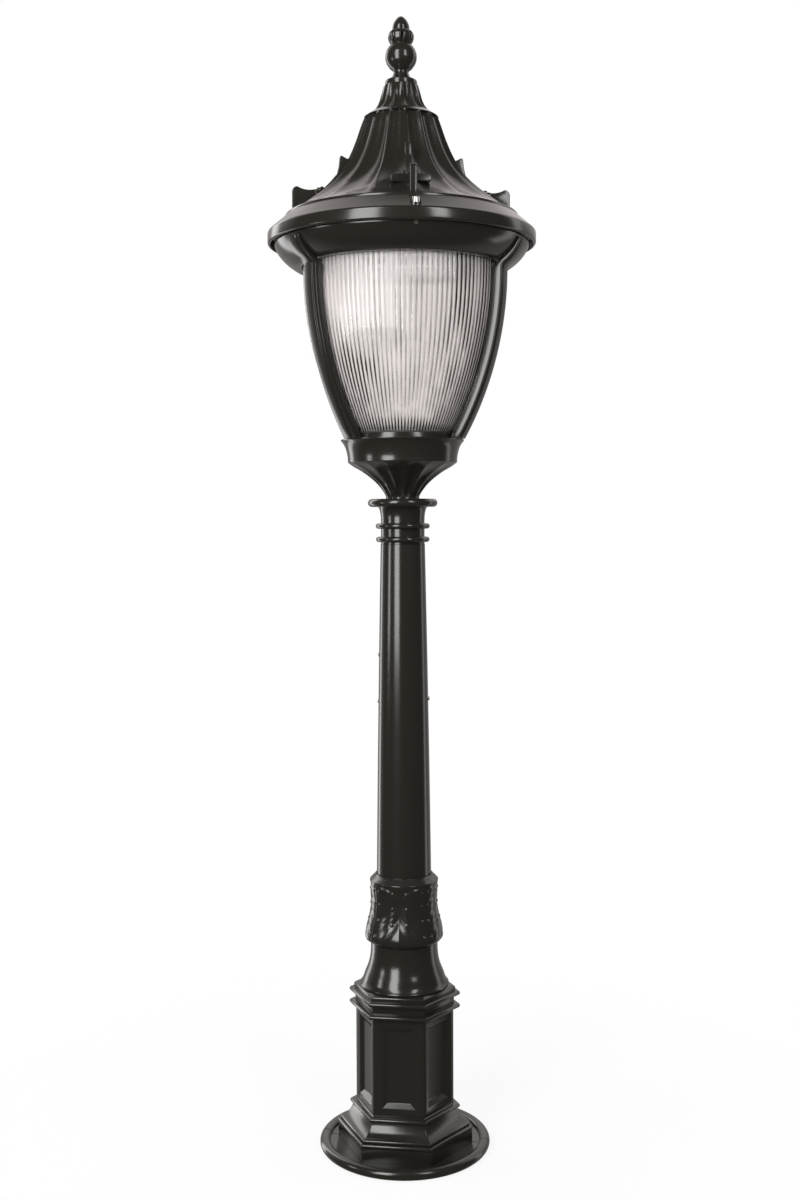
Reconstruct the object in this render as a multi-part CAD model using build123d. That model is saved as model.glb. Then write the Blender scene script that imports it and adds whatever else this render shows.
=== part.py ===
from build123d import *
import os
from math import cos, pi, sin, sqrt

# Outdoor lamp post: a fluted lantern on a tapered column that is slipped over a steel tube.
# Millimetres. The ground is z = 0, the post's axis is Z and the pedestal's front face looks along -Y.
# The lantern is built facing -Y as well, and is turned on the post as the last step.

# Gaps between pieces
FIT = 0.3            # between mouldings that are slipped over one another
RUN = 0.1            # radial, where a piece turns
PRESS = 0.02         # radial, where a piece is pressed in

# Steel core
TUBE_R = 21.2
TUBE_WALL = 2.6
TUBE_TOP_DEPTH = 40.0        # from the capital's top down to the tube's end
PLATE_R = 69.5
PLATE_T = 6.0
CABLE_HOLE_R = 16.0
ANCHORS = 4
ANCHOR_CIRCLE_R = 52.5
ANCHOR_HOLE_R = 5.5

# Base ring
RING_R = 107.5
RING_RIM_H = 12.5
RING_RIM_W = 13.5
RING_PLATEAU_Z = 7.0
RING_WALL = 3.5
RING_FOOT_INSET = 6.0

# Hexagonal pedestal, corner radii and heights
SIDES = 6
PLINTH_R = 86.0
PLINTH_H = 24.0
PLINTH_BEADS = ((87.0, 5.0), (83.5, 4.5))        # corner radius and height, from the plinth up
COVE_FOOT_R = 80.5
COVE_TOP_R = 66.5
COVE_H = 17.0
COVE_HOLLOW = 3.0
SKIRT_BEAD_R = 70.6
SKIRT_BEAD_H = 5.0
BODY_R = 62.3
BODY_H = 123.5
RIM_BEAD_R = 70.7
RIM_BEAD_H = 5.5
RIM_BEAD_STEP = 16.0
CAP_R = 64.8
CAP_H = 7.5
CAP_CHAMFER = 2.2
PANEL_W = 44.0
PANEL_H = 109.0
PANEL_BEVEL = 7.5
PANEL_DEPTH = 5.0
PEDESTAL_BORE_R = 42.0

# Bell, leaf collar and column
BELL_FOOT_R = 56.0
BELL_FOOT_LIP = 2.5
BELL_TOP_R = 42.0
BELL_H = 55.5
BELL_WALL = 4.0
COLLAR_H = 85.5
COLLAR_LIP_R = 49.2
COLLAR_WAIST_R = 41.0
COLLAR_SHOULDER_R = 42.8
SHAFT_FOOT_R = 35.0
SHAFT_TOP_R = 27.4
SHAFT_SWELL = 0.7
SHAFT_H = 498.0
SHAFT_WALL = 3.2
SLEEVE_H = 80.0
LOWER_SLEEVE_RISE = 12.0
UPPER_SLEEVE_RISE = 292.0
SHAFT_SCREWS = ((-90, 360.0), (-90, 302.0), (90, 306.0))   # side in degrees and height on the column
SHAFT_SCREW_R = 1.6
SHAFT_SCREW_HEAD_R = 3.2
SHAFT_SCREW_HEAD_H = 2.0
SHAFT_SCREW_BITE = 4.0

# Capital
CAPITAL_H = 55.5
CAPITAL_NECK_R = 27.0
CAPITAL_PLUG_H = 24.0
CAPITAL_RINGS = ((5.5, 33.2, 3.4), (22.0, 33.5, 3.4))      # height, outer radius, half thickness
FLANGE_R = 43.0
FLANGE_T = 10.0
FLARE_R = 33.0
GRUB_R = 2.5
GRUB_DROP = 48.0
GRUB_ANGLES = (150, 210)

# Lantern: stem, cup and globe seat
LANTERN_TURN = 14.0
FLUTES = 16
SPIGOT_LEN = 60.0
STEM_BORE_R = 12.0
STEM_H = 44.5
STEM_TOP_WALL = 20.0
STEM_NECK_R = 20.7
STEM_RIDGE = ((0.0, 0.0, 0.0), (0.09, 0.013, 0.02), (0.25, 0.11, 0.05), (0.42, 0.245, 0.07),
              (0.58, 0.415, 0.07), (0.75, 0.635, 0.06), (0.9, 0.88, 0.03), (1.0, 1.0, 0.0))
CUP_FOOT_R = 67.4
CUP_RIM_R = 76.0
CUP_H = 28.0
CUP_FLOOR = 4.0
CUP_WALL = 4.4
CUP_LEDGE_DROP = 9.0
SEAT_INSET = 7.5             # of the globe's seat from the cup's edge
SEAT_W = 6.5
SEAT_RISE = 6.0
SEAL_T = 2.0

# Globe and cage arms, which follow arcs about one centre
GLOBE_H = 207.0
GLOBE_WALL = 3.0
GLOBE_COLLAR_H = 14.0
GLOBE_FLANGE_H = 4.0
CAGE_TOP_R = 135.0
CAGE_FOOT_OUT = 4.6          # of an arm's foot beyond the cup
CAGE_GAP = 2.5               # between the globe and an arm
ARM_BAR_T = 10.0
ARM_RIB_T = 2.0
ARM_STRAP_T = 5.0            # of the arm's end along the crown ring
ARM_W = 25.0
ARM_RIB_W = 13.0
ARM_BEND_RISE = 6.0
ARMS = ("arm_right", "arm_rear", "arm_left")
ARM_PIN_R = 1.75
ARM_PIN_IN_CUP = 3.0
ARM_PIN_IN_ARM = 8.0
ARM_PIN_INSET = 3.0          # of a pin's axis from the cup's edge

# Crown ring and its hinge ears
CROWN_LEDGE = 8.0            # from the hole in the crown ring to the foot of its cone
CROWN_CONE_H = 26.5
CROWN_RIM_H = 2.0
CROWN_WALL = 4.0
CROWN_GAP = 2.5              # between the globe's collar and the crown ring
CROWN_LAP = 7.0              # how far the globe's collar stands up inside the crown ring
ROOF_SEAL_W = 7.0
ROOF_SEAL_INSET = 10.0       # of the seal's middle from the crown ring's edge
CROWN_DECK_INSET = 18.5      # of the mouth from the crown ring's edge
HINGE_OUT = 10.5             # of the hinge axis beyond the brim
HINGE_DROP = 6.9             # of the hinge axis below the brim's lower edge
HINGE_PIN_R = 3.0
HINGE_EYE_R = 5.5
HINGE_KNUCKLE_W = 38.0
HINGE_EAR_W = 7.0
HINGE_SIDE_GAP = 0.4

# Roof
BRIM_R = 163.5
BRIM_FASCIA_H = 13.6
BRIM_ROUND = 2.5
BRIM_LIFT = 1.1              # of the crown ring's top above the brim's lower edge
BRIM_SLOPE_H = 18.0
BRIM_SLOPE_W = 21.5
BRIM_OVERHANG = 11.0         # of the brim beyond the crown ring
BRIM_STEP_H = 3.0
ROOF_WALL = 3.2
TIER_H = 119.0
TIER_INSET = 1.3             # of the tier's ridges from the edge of the brim's step
TIER_TOP_R = 45.5
TIER_RIDGE = ((0.0, 1.0, 0.0), (0.095, 0.804, 0.03), (0.205, 0.617, 0.055), (0.305, 0.467, 0.06),
              (0.405, 0.35, 0.06), (0.515, 0.257, 0.06), (0.63, 0.182, 0.06), (0.765, 0.11, 0.055),
              (0.907, 0.047, 0.05), (1.0, 0.0, 0.05))
LEDGE_H = 6.0
UPPER_H = 32.0
UPPER_FOOT_R = 36.0
UPPER_TOP_R = 21.5
UPPER_RIDGE = ((0.0, 1.0, 0.06), (0.1, 0.8, 0.06), (0.25, 0.55, 0.06), (0.45, 0.35, 0.06),
                 (0.7, 0.19, 0.05), (1.0, 0.0, 0.04))
ROOF_TOP_WALL = 8.0
REST_RIB_W = 3.0
REFLECTOR_GAP = 8.0          # between the reflector and the crown ring's mouth
REFLECTOR_T = 2.0
REFLECTOR_RISE = 12.0
REFLECTOR_BOSS_R = 5.0
REFLECTOR_BOSSES = 3
REFLECTOR_BOSS_INSET = 22.0  # of a boss's axis from the reflector's edge
REFLECTOR_SCREW_R = 2.0
REFLECTOR_SCREW_HEAD_R = 4.0
REFLECTOR_SCREW_HEAD_H = 2.4
REFLECTOR_SCREW_BITE = 9.0

# Crests on the roof
CREST_T = 8.0
CREST_WAY = 0.923            # places as shares of the way from the tier's top to its foot
CREST_CORNER = 6.5
CREST_TOP_RISE = 35.0        # heights above the foot of the tier
CREST_DIP_WAY, CREST_DIP_RISE = 0.688, 31.0
CREST_BUMP_WAY, CREST_BUMP_RISE = 0.541, 35.5
CREST_NECK_WAY, CREST_NECK_RISE = 0.352, 50.5
CREST_TIP_WAY, CREST_TIP_RISE = 0.289, 72.5
CREST_TIP_W = 8.0
CREST_STRIP = 2.5            # of the thin part above the ridge
CREST_BAR_W = 48.0
CREST_BAR_H = 9.0
CREST_BAR_WAY = 0.604
CREST_BAR_T = 7.0

# Finial
FINIAL_H = 83.5
FINIAL_DISC_R = 19.7
FINIAL_BALL_R = 19.2
FINIAL_BUD_R = 10.4
FINIAL_KNOBS = 8
FINIAL_KNOB_R = 5.0
FINIAL_KNOB_CIRCLE_R = 10.5
STUD_R = 3.0
STUD_IN_FINIAL = 9.0
STUD_TAIL = 3.0
NUT_R = 5.8
NUT_H = 5.0

# Closing screw
SCREW_INSET = 10.0           # of the screw's axis from the brim's edge
SCREW_R = 2.5
SCREW_HEAD_R = 4.5
SCREW_HEAD_H = 8.0
SCREW_SOCKET_R = 2.0
SCREW_SOCKET_DEPTH = 4.0
SCREW_TIP_SHOW = 4.0         # of the tip below the brim's lower edge
SCREW_SEAT_RISE = 17.0       # of the screw's seat above the brim's lower edge
SCREW_BOSS_R = 8.0
SCREW_BOSS_H = 8.0
SCREW_POCKET_R = 6.0
WASHER_R = 5.2
WASHER_T = 1.0
INSERT_R = 4.2
INSERT_GAP = 0.7             # between the screw and its insert
LUG_W = 16.0
LUG_LIP = 1.5                # of the lug beyond the insert
LUG_H = 7.0

# Lamp
NIPPLE_R = 5.0
NIPPLE_BORE_R = 3.2
NIPPLE_NUT_R = 9.5
NIPPLE_NUT_H = 6.0
NIPPLE_TAIL = 3.0
HOLDER_R = 21.0
HOLDER_H = 46.0
HOLDER_RISE = 11.0           # of the holder above the cup's floor
HOLDER_GRIP = 8.0
HOLDER_SOCKET_H = 30.0
BULB_CAP_R = 13.2
BULB_CAP_GAP = 0.6
BULB_CAP_H = 26.0
BULB_R = 30.0
BULB_GLASS_H = 90.0
BULB_WALL = 1.2
TERMINAL_W, TERMINAL_D, TERMINAL_H = 24.0, 14.0, 12.0
TERMINAL_X = 38.0
TERMINAL_WIRE_R = 2.5

# Levels, from the ground up
BEADS_TOP = PLINTH_H + sum(height for radius, height in PLINTH_BEADS)
COVE_TOP = BEADS_TOP + COVE_H
BODY_TOP = COVE_TOP + SKIRT_BEAD_H + BODY_H
RIM_TOP = BODY_TOP + RIM_BEAD_STEP + RIM_BEAD_H
PEDESTAL_TOP = RIM_TOP + CAP_H
SHAFT_FOOT = PEDESTAL_TOP + BELL_H
SHAFT_TOP = SHAFT_FOOT + SHAFT_H
CAPITAL_TOP = SHAFT_TOP + CAPITAL_H
TUBE_TOP = CAPITAL_TOP - TUBE_TOP_DEPTH
CUP_FOOT = CAPITAL_TOP + STEM_H
CUP_FLOOR_TOP = CUP_FOOT + CUP_FLOOR
CUP_TOP = CUP_FOOT + CUP_H
SEAT_FOOT = CUP_TOP - CUP_LEDGE_DROP
SEAT_TOP = CUP_TOP + SEAT_RISE
GLOBE_FOOT = SEAT_TOP + SEAL_T
GLOBE_TOP = GLOBE_FOOT + GLOBE_H
CAGE_TOP = GLOBE_TOP - GLOBE_COLLAR_H
CROWN_FOOT = GLOBE_TOP - CROWN_LAP
CROWN_TOP = CROWN_FOOT + CROWN_CONE_H + CROWN_RIM_H
BRIM_FOOT = CROWN_TOP - BRIM_LIFT
REST_FOOT = CROWN_TOP + SEAL_T + FIT
TIER_FOOT = BRIM_FOOT + BRIM_FASCIA_H + BRIM_SLOPE_H + BRIM_STEP_H
TIER_TOP = TIER_FOOT + TIER_H
UPPER_FOOT = TIER_TOP + LEDGE_H
ROOF_TOP = UPPER_FOOT + UPPER_H
HINGE_Z = BRIM_FOOT - HINGE_DROP
SCREW_SEAT = BRIM_FOOT + SCREW_SEAT_RISE
HOLDER_FOOT = CUP_FLOOR_TOP + HOLDER_RISE

# Radii that follow the cup's edge
SEAT_R = CUP_RIM_R - SEAT_INSET
CAGE_FOOT_R = CUP_RIM_R + CAGE_FOOT_OUT
ARM_PIN_CIRCLE_R = CUP_RIM_R - ARM_PIN_INSET

# Arc that the cage arms follow in the radius-height plane
CAGE_DROP = CAGE_TOP - CUP_TOP
CAGE_ARC_R = (CAGE_DROP**2 + (CAGE_TOP_R - CAGE_FOOT_R)**2) / (2 * (CAGE_TOP_R - CAGE_FOOT_R))
CAGE_ARC_X = CAGE_TOP_R - CAGE_ARC_R
ARM_INNER = CAGE_ARC_R - ARM_RIB_T - ARM_BAR_T
ARM_BAR = CAGE_ARC_R - ARM_RIB_T
GLOBE_ARC = ARM_INNER - CAGE_GAP
ARM_STEP = 360 / len(ARMS)
ARM_ANGLES = {name: ARM_STEP * (i + 0.5) for i, name in enumerate(ARMS)}

# Radii that follow the globe's collar and the brim
GLOBE_TOP_R = CAGE_ARC_X + GLOBE_ARC
CROWN_HOLE_R = GLOBE_TOP_R + CROWN_GAP
CROWN_FOOT_R = CROWN_HOLE_R + CROWN_LEDGE
CROWN_TOP_R = BRIM_R - BRIM_OVERHANG
CROWN_MOUTH_R = CROWN_TOP_R - CROWN_DECK_INSET
ROOF_SEAL_R = CROWN_TOP_R - ROOF_SEAL_INSET
HINGE_Y = BRIM_R + HINGE_OUT
BRIM_STEP_R = BRIM_R - BRIM_SLOPE_W
TIER_FOOT_R = BRIM_STEP_R - TIER_INSET
REFLECTOR_R = CROWN_MOUTH_R - REFLECTOR_GAP
REFLECTOR_BOSS_CIRCLE_R = REFLECTOR_R - REFLECTOR_BOSS_INSET
SCREW_CIRCLE_R = BRIM_R - SCREW_INSET
LUG_R = SCREW_CIRCLE_R + INSERT_R + LUG_LIP
CLIP = 400.0                 # larger than the lamp is wide, for cutting tools


def cage_r(arc, z):
    """Radius at height z of the arc with the given radius about the cage's centre."""
    return CAGE_ARC_X + sqrt(arc**2 - (CAGE_TOP - z)**2)


def shaft_line(z):
    """Radius at height z of the straight line between the column's two ends."""
    return SHAFT_FOOT_R + (z - SHAFT_FOOT) / SHAFT_H * (SHAFT_TOP_R - SHAFT_FOOT_R)


def shaft_r(z):
    """Outer radius of the column at height z, with its slight swell."""
    share = (z - SHAFT_FOOT) / SHAFT_H
    return shaft_line(z) + 4 * SHAFT_SWELL * share * (1 - share)


def spun(*edges):
    """Solid of revolution about Z of a closed outline drawn with x as radius and y as height."""
    return revolve(Plane.XZ * make_face(edges), axis=Axis.Z)


def spun_points(*points):
    """Solid of revolution of an outline of straight runs."""
    return spun(Polyline(*points, close=True))


def ring_solid(outer, inner, foot, top):
    """Plain round ring or tube between two heights."""
    return spun_points((inner, foot), (outer, foot), (outer, top), (inner, top))


def rod(radius, foot, top, x=0.0, y=0.0):
    """Upright cylinder between two heights."""
    return Pos(x, y, (foot + top) / 2) * Cylinder(radius, top - foot)


def around(piece, count, start=0.0):
    """Copies of a piece, evenly spaced about Z."""
    return [Rot(0, 0, start + 360 * i / count) * piece for i in range(count)]


def hexagon(corner_r, foot, height, rounding=0.0):
    """Hexagonal prism about Z with its top and bottom edges rounded."""
    prism = Pos(0, 0, foot) * extrude(RegularPolygon(corner_r, SIDES), height)
    if rounding:
        rims = prism.edges().filter_by(Plane.XY)
        prism = fillet(rims, rounding)
    return prism


def scalloped(ridge_r, hollow, z):
    """Closed outline of concave scallops whose ridges lie on a circle."""
    step = 2 * pi / FLUTES
    edges = []
    for i in range(FLUTES):
        a, b = i * step - pi / 2, (i + 1) * step - pi / 2
        mid = (a + b) / 2
        low = ridge_r * (1 - hollow)
        edges.append(ThreePointArc((ridge_r * cos(a), ridge_r * sin(a), z),
                                   (low * cos(mid), low * sin(mid), z),
                                   (ridge_r * cos(b), ridge_r * sin(b), z)))
    return make_face(edges)


def fluted(rule, foot, height, near_r, far_r):
    """Fluted solid. The rule gives share of height, share of the way to far_r, and depth of the hollow."""
    return loft([scalloped(near_r + (far_r - near_r) * way, hollow, foot + share * height)
                 for share, way, hollow in rule])


def common(a, b):
    """What two solids share."""
    return Part() + (a & b)


def facing(piece, side):
    """Turn a piece drawn along +X so that it looks to a side in degrees, front 0 and right 90."""
    return Rot(0, 0, side - 90) * piece


def slab(width, *edges):
    """Plate in the radius-height plane along +X, as thick as width and centred on it."""
    return extrude(Plane.XZ * make_face(edges), width / 2, both=True)


def base_plate():
    plate = ring_solid(PLATE_R, CABLE_HOLE_R, 0, PLATE_T)
    hole = rod(ANCHOR_HOLE_R, -1, PLATE_T + 1, ANCHOR_CIRCLE_R)
    return plate - around(hole, ANCHORS, 180 / ANCHORS)


def grub(radius, tip, tail):
    """Radial peg along +X at the height of the grub screws."""
    return Pos((tip + tail) / 2, 0, CAPITAL_TOP - GRUB_DROP) * Rot(0, 90, 0) * Cylinder(radius, tail - tip)


def inner_tube():
    tube = ring_solid(TUBE_R, TUBE_R - TUBE_WALL, PLATE_T, TUBE_TOP)
    return tube - [facing(grub(GRUB_R + PRESS, 0, CLIP), side) for side in GRUB_ANGLES]


def base_ring(side):
    """Half of the moulded ring round the plinth, on the front (-1) or the rear (1)."""
    r_mid = RING_R - RING_RIM_W / 2
    r_in = r_mid - RING_RIM_W / 2
    low = RING_RIM_H / 2
    bend = sqrt(0.5)
    inset = RING_FOOT_INSET
    crown = RING_RIM_H - RING_PLATEAU_Z
    ring = spun(
        ThreePointArc((RING_R - inset, 0), (RING_R - inset * (1 - bend), low * (1 - bend)), (RING_R, low)),
        ThreePointArc((RING_R, low), (r_mid + (RING_R - r_mid) * bend, low + low * bend), (r_mid, RING_RIM_H)),
        ThreePointArc((r_mid, RING_RIM_H), (r_mid - (r_mid - r_in) * bend, RING_PLATEAU_Z + crown * bend),
                      (r_in, RING_PLATEAU_Z)),
        Polyline((r_in, RING_PLATEAU_Z), (PLATE_R, RING_PLATEAU_Z), (PLATE_R, RING_PLATEAU_Z - RING_WALL),
                 (r_in + 1, RING_PLATEAU_Z - RING_WALL), (r_in + RING_WALL, 0), (RING_R - inset, 0)))
    ring -= hexagon(PLINTH_R + FIT / cos(pi / SIDES), -1, RING_RIM_H + 2)
    return ring - Pos(0, -side * (CLIP - FIT) / 2, 0) * Box(CLIP, CLIP, CLIP)


def panel_cutter():
    """Frustum that sinks one panel into the front face of the pedestal."""
    face_y = BODY_R * cos(pi / SIDES)
    slope = PANEL_BEVEL / PANEL_DEPTH
    mid = COVE_TOP + SKIRT_BEAD_H + BODY_H / 2
    wide, narrow = 2 * slope, -2 * PANEL_BEVEL
    outer = Plane.XZ.offset(face_y + 1) * Pos(0, mid) * Rectangle(PANEL_W + wide, PANEL_H + wide)
    inner = Plane.XZ.offset(face_y - PANEL_DEPTH) * Pos(0, mid) * Rectangle(PANEL_W + narrow, PANEL_H + narrow)
    return loft([outer, inner], ruled=True)


def pedestal():
    body = hexagon(PLINTH_R, 0, PLINTH_H + 1)
    level = PLINTH_H
    for corner_r, height in PLINTH_BEADS:
        body += hexagon(corner_r, level, height, 0.42 * height)
        level += height
    rises = (0.0, 0.3, 0.65, 1.0)
    outlines = []
    for share in rises:
        corner_r = COVE_FOOT_R + share * (COVE_TOP_R - COVE_FOOT_R) - COVE_HOLLOW * sin(pi * share)
        outlines.append(Pos(0, 0, BEADS_TOP - 1 + share * (COVE_H + 1)) * RegularPolygon(corner_r, SIDES))
    body += loft(outlines)
    body += hexagon(SKIRT_BEAD_R, COVE_TOP, SKIRT_BEAD_H, 0.42 * SKIRT_BEAD_H)
    body += hexagon(BODY_R, COVE_TOP - 1, RIM_TOP - COVE_TOP + 1)
    for foot in (BODY_TOP, BODY_TOP + RIM_BEAD_STEP):
        body += hexagon(RIM_BEAD_R, foot, RIM_BEAD_H, 0.42 * RIM_BEAD_H)
    cap = hexagon(CAP_R, RIM_TOP - 1, CAP_H + 1)
    body += chamfer(cap.edges().group_by(Axis.Z)[-1], CAP_CHAMFER)
    body -= around(panel_cutter(), SIDES)
    skirt_r = PLATE_R + FIT
    body -= spun_points((0, -1), (skirt_r, -1), (skirt_r, PLINTH_H - 2), (PEDESTAL_BORE_R, COVE_TOP + 2),
                        (PEDESTAL_BORE_R, PEDESTAL_TOP + 1), (0, PEDESTAL_TOP + 1))
    return body


def bell():
    foot, top = PEDESTAL_TOP, SHAFT_FOOT
    outer = Spline((BELL_FOOT_R, foot + BELL_FOOT_LIP), (BELL_TOP_R + 0.33 * (BELL_FOOT_R - BELL_TOP_R),
                   foot + 0.42 * BELL_H), (BELL_TOP_R, foot + 0.84 * BELL_H),
                   tangents=((-1, 1.1), (0, 1)))
    in_r = BELL_TOP_R - BELL_WALL
    rim_r = TUBE_R + FIT
    return spun(Polyline((in_r, foot), (BELL_FOOT_R, foot), (BELL_FOOT_R, foot + BELL_FOOT_LIP)), outer,
                Polyline((BELL_TOP_R, foot + 0.84 * BELL_H), (BELL_TOP_R, top), (rim_r, top),
                         (rim_r, top - BELL_WALL), (in_r, top - 2 * BELL_WALL), (in_r, foot)))


def leaf_collar():
    foot = SHAFT_FOOT
    span = COLLAR_LIP_R - COLLAR_WAIST_R
    lip = [(COLLAR_LIP_R - 5.5, 0.0), (COLLAR_LIP_R, 0.12), (COLLAR_WAIST_R + 0.65 * span, 0.255),
           (COLLAR_WAIST_R + 0.15 * span, 0.43), (COLLAR_WAIST_R, 0.62), (COLLAR_SHOULDER_R, 0.875)]
    edge = [(radius, foot + share * COLLAR_H) for radius, share in lip]
    foot_r, top_r = shaft_r(foot) + FIT, shaft_r(foot + COLLAR_H) + FIT
    crown = (top_r + 3.5, foot + 0.965 * COLLAR_H)
    rim = (top_r + 1.0, foot + COLLAR_H)
    return spun(Spline(*edge, tangents=((1, 0.3), (0.1, 1))), Polyline(edge[-1], crown, rim,
                (top_r, foot + COLLAR_H), (foot_r, foot), edge[0]))


def shaft_peg(radius, tip, tail, z):
    """Radial peg along +X between two distances from the axis."""
    return Pos((tip + tail) / 2, 0, z) * Rot(0, 90, 0) * Cylinder(radius, tail - tip)


def screw_holes():
    """Holes of the column's screws, through the column and into the sleeve behind it."""
    holes = []
    for side, rise in SHAFT_SCREWS:
        z = SHAFT_FOOT + rise
        tip = shaft_r(z) - SHAFT_WALL - FIT - SHAFT_SCREW_BITE
        holes.append(facing(shaft_peg(SHAFT_SCREW_R + PRESS, tip - PRESS, shaft_r(z) + 5, z), side))
    return holes


def shaft():
    mid_z = SHAFT_FOOT + SHAFT_H / 2
    outer = Spline((SHAFT_FOOT_R, SHAFT_FOOT), (shaft_r(mid_z), mid_z), (SHAFT_TOP_R, SHAFT_TOP))
    column = spun(outer, Polyline((SHAFT_TOP_R, SHAFT_TOP), (SHAFT_TOP_R - SHAFT_WALL, SHAFT_TOP),
                                  (SHAFT_FOOT_R - SHAFT_WALL, SHAFT_FOOT), (SHAFT_FOOT_R, SHAFT_FOOT)))
    return column - screw_holes()


def shaft_screws():
    screws = []
    for side, rise in SHAFT_SCREWS:
        z = SHAFT_FOOT + rise
        seat = shaft_r(z) + RUN
        tip = shaft_r(z) - SHAFT_WALL - FIT - SHAFT_SCREW_BITE
        dome = SHAFT_SCREW_HEAD_H
        crown = (0.62 * SHAFT_SCREW_HEAD_R, 0.78 * dome)
        head = spun(ThreePointArc((SHAFT_SCREW_HEAD_R, 0), crown, (0, dome)),
                    Polyline((0, dome), (0, 0), (SHAFT_SCREW_HEAD_R, 0)))
        head = Pos(seat, 0, z) * Rot(0, 90, 0) * head
        slot = Pos(seat + dome, 0, z) * Box(1.2, 0.9, 4)
        screws.append(facing(head + shaft_peg(SHAFT_SCREW_R, tip, seat + 0.5, z) - slot, side))
    return screws


def sleeve(rise):
    """Centring sleeve between the steel tube and the column."""
    foot = SHAFT_FOOT + rise
    top = foot + SLEEVE_H
    ring = spun_points((TUBE_R + PRESS, foot), (shaft_line(foot) - SHAFT_WALL - FIT, foot),
                       (shaft_line(top) - SHAFT_WALL - FIT, top), (TUBE_R + PRESS, top))
    return ring - screw_holes()


def capital():
    foot, top = SHAFT_TOP, CAPITAL_TOP
    plug_r = SHAFT_TOP_R - SHAFT_WALL - FIT
    flange_z = top - FLANGE_T / 2
    waist = foot + 0.52 * CAPITAL_H
    neck = Spline((CAPITAL_NECK_R, waist), (CAPITAL_NECK_R + 2, waist + 0.26 * CAPITAL_H),
                  (FLARE_R + 2, flange_z), tangents=((0, 1), (1, 0.6)))
    bore_r, seat_r = TUBE_R - TUBE_WALL, TUBE_R + PRESS
    body = spun(Polyline((seat_r, foot - CAPITAL_PLUG_H), (plug_r, foot - CAPITAL_PLUG_H), (plug_r, foot),
                         (SHAFT_TOP_R, foot), (CAPITAL_NECK_R, foot + 0.5), (CAPITAL_NECK_R, waist)), neck,
                Polyline((FLARE_R + 2, flange_z), (FLARE_R + 2, top), (bore_r, top), (bore_r, TUBE_TOP),
                         (seat_r, TUBE_TOP), (seat_r, foot - CAPITAL_PLUG_H)))
    for rise, outer, half in CAPITAL_RINGS:
        body += Pos(0, 0, foot + rise) * Torus(outer - half, half)
    body += Pos(0, 0, flange_z) * Torus(FLANGE_R - FLANGE_T / 2, FLANGE_T / 2)
    body -= rod(bore_r, TUBE_TOP - 1, top + 1)
    body -= rod(seat_r, foot - CAPITAL_PLUG_H - 1, TUBE_TOP)
    return body - [facing(grub(GRUB_R + PRESS, 0, CLIP), side) for side in GRUB_ANGLES]


def grub_screws():
    spigot_r = TUBE_R - TUBE_WALL - RUN
    peg = grub(GRUB_R, spigot_r + RUN, CAPITAL_NECK_R)
    hex_hole = extrude(Plane.YZ.offset(CAPITAL_NECK_R - 3) * RegularPolygon(GRUB_R * 0.6, 6), 4)
    peg -= Pos(0, 0, CAPITAL_TOP - GRUB_DROP) * hex_hole
    return [facing(peg, side) for side in GRUB_ANGLES]


def stem():
    spigot_r = TUBE_R - TUBE_WALL - RUN
    body = fluted(STEM_RIDGE, CAPITAL_TOP, STEM_H, STEM_NECK_R, CUP_FOOT_R)
    body += rod(spigot_r, CAPITAL_TOP - SPIGOT_LEN, CAPITAL_TOP + 1)
    body -= rod(STEM_BORE_R, CAPITAL_TOP - SPIGOT_LEN - 1, CUP_FOOT - STEM_TOP_WALL)
    return body - rod(NIPPLE_R + PRESS, CAPITAL_TOP, CUP_FOOT + 1)


def cup():
    hole_r = NIPPLE_R + PRESS
    outer = Spline((CUP_FOOT_R, CUP_FOOT), (CUP_FOOT_R + 0.13 * (CUP_RIM_R - CUP_FOOT_R), CUP_FOOT + 0.4 * CUP_H),
                   (CUP_RIM_R, CUP_TOP - 1.5), tangents=((0, 1), (1, 1.3)))
    in_r = CUP_FOOT_R - CUP_WALL
    recess_r = SEAT_R + FIT
    body = spun(Line((hole_r, CUP_FOOT), (CUP_FOOT_R, CUP_FOOT)), outer,
                Polyline((CUP_RIM_R, CUP_TOP - 1.5), (CUP_RIM_R, CUP_TOP), (recess_r, CUP_TOP),
                         (recess_r, SEAT_FOOT), (in_r, SEAT_FOOT), (in_r, CUP_FLOOR_TOP),
                         (hole_r, CUP_FLOOR_TOP), (hole_r, CUP_FOOT)))
    hole = rod(ARM_PIN_R + PRESS, CUP_TOP - ARM_PIN_IN_CUP - PRESS, CUP_TOP + 1, ARM_PIN_CIRCLE_R)
    return body - [facing(hole, side) for side in ARM_ANGLES.values()]


def globe():
    outer_foot = cage_r(GLOBE_ARC, GLOBE_FOOT)
    outer_top = GLOBE_TOP_R
    mid = (GLOBE_FOOT + CAGE_TOP) / 2
    inner = GLOBE_ARC - GLOBE_WALL
    lip_z = GLOBE_FOOT + GLOBE_FLANGE_H
    mid_in = (lip_z + CAGE_TOP) / 2
    lip_r = SEAT_R - SEAT_W + 1
    return spun(
        ThreePointArc((outer_foot, GLOBE_FOOT), (cage_r(GLOBE_ARC, mid), mid), (outer_top, CAGE_TOP)),
        Polyline((outer_top, CAGE_TOP), (outer_top, GLOBE_TOP), (outer_top - GLOBE_WALL, GLOBE_TOP),
                 (outer_top - GLOBE_WALL, CAGE_TOP)),
        ThreePointArc((outer_top - GLOBE_WALL, CAGE_TOP), (cage_r(inner, mid_in), mid_in),
                      (cage_r(inner, lip_z), lip_z)),
        Polyline((cage_r(inner, lip_z), lip_z), (lip_r, lip_z), (lip_r, GLOBE_FOOT), (outer_foot, GLOBE_FOOT)))


def cone_point(share, lift):
    """Point beside the crown ring's cone: share of the way up it, and distance out from it."""
    rise, run = CROWN_CONE_H, CROWN_TOP_R - CROWN_FOOT_R
    length = sqrt(rise**2 + run**2)
    return (CROWN_FOOT_R + share * run + lift * rise / length, CROWN_FOOT + share * rise - lift * run / length)


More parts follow.
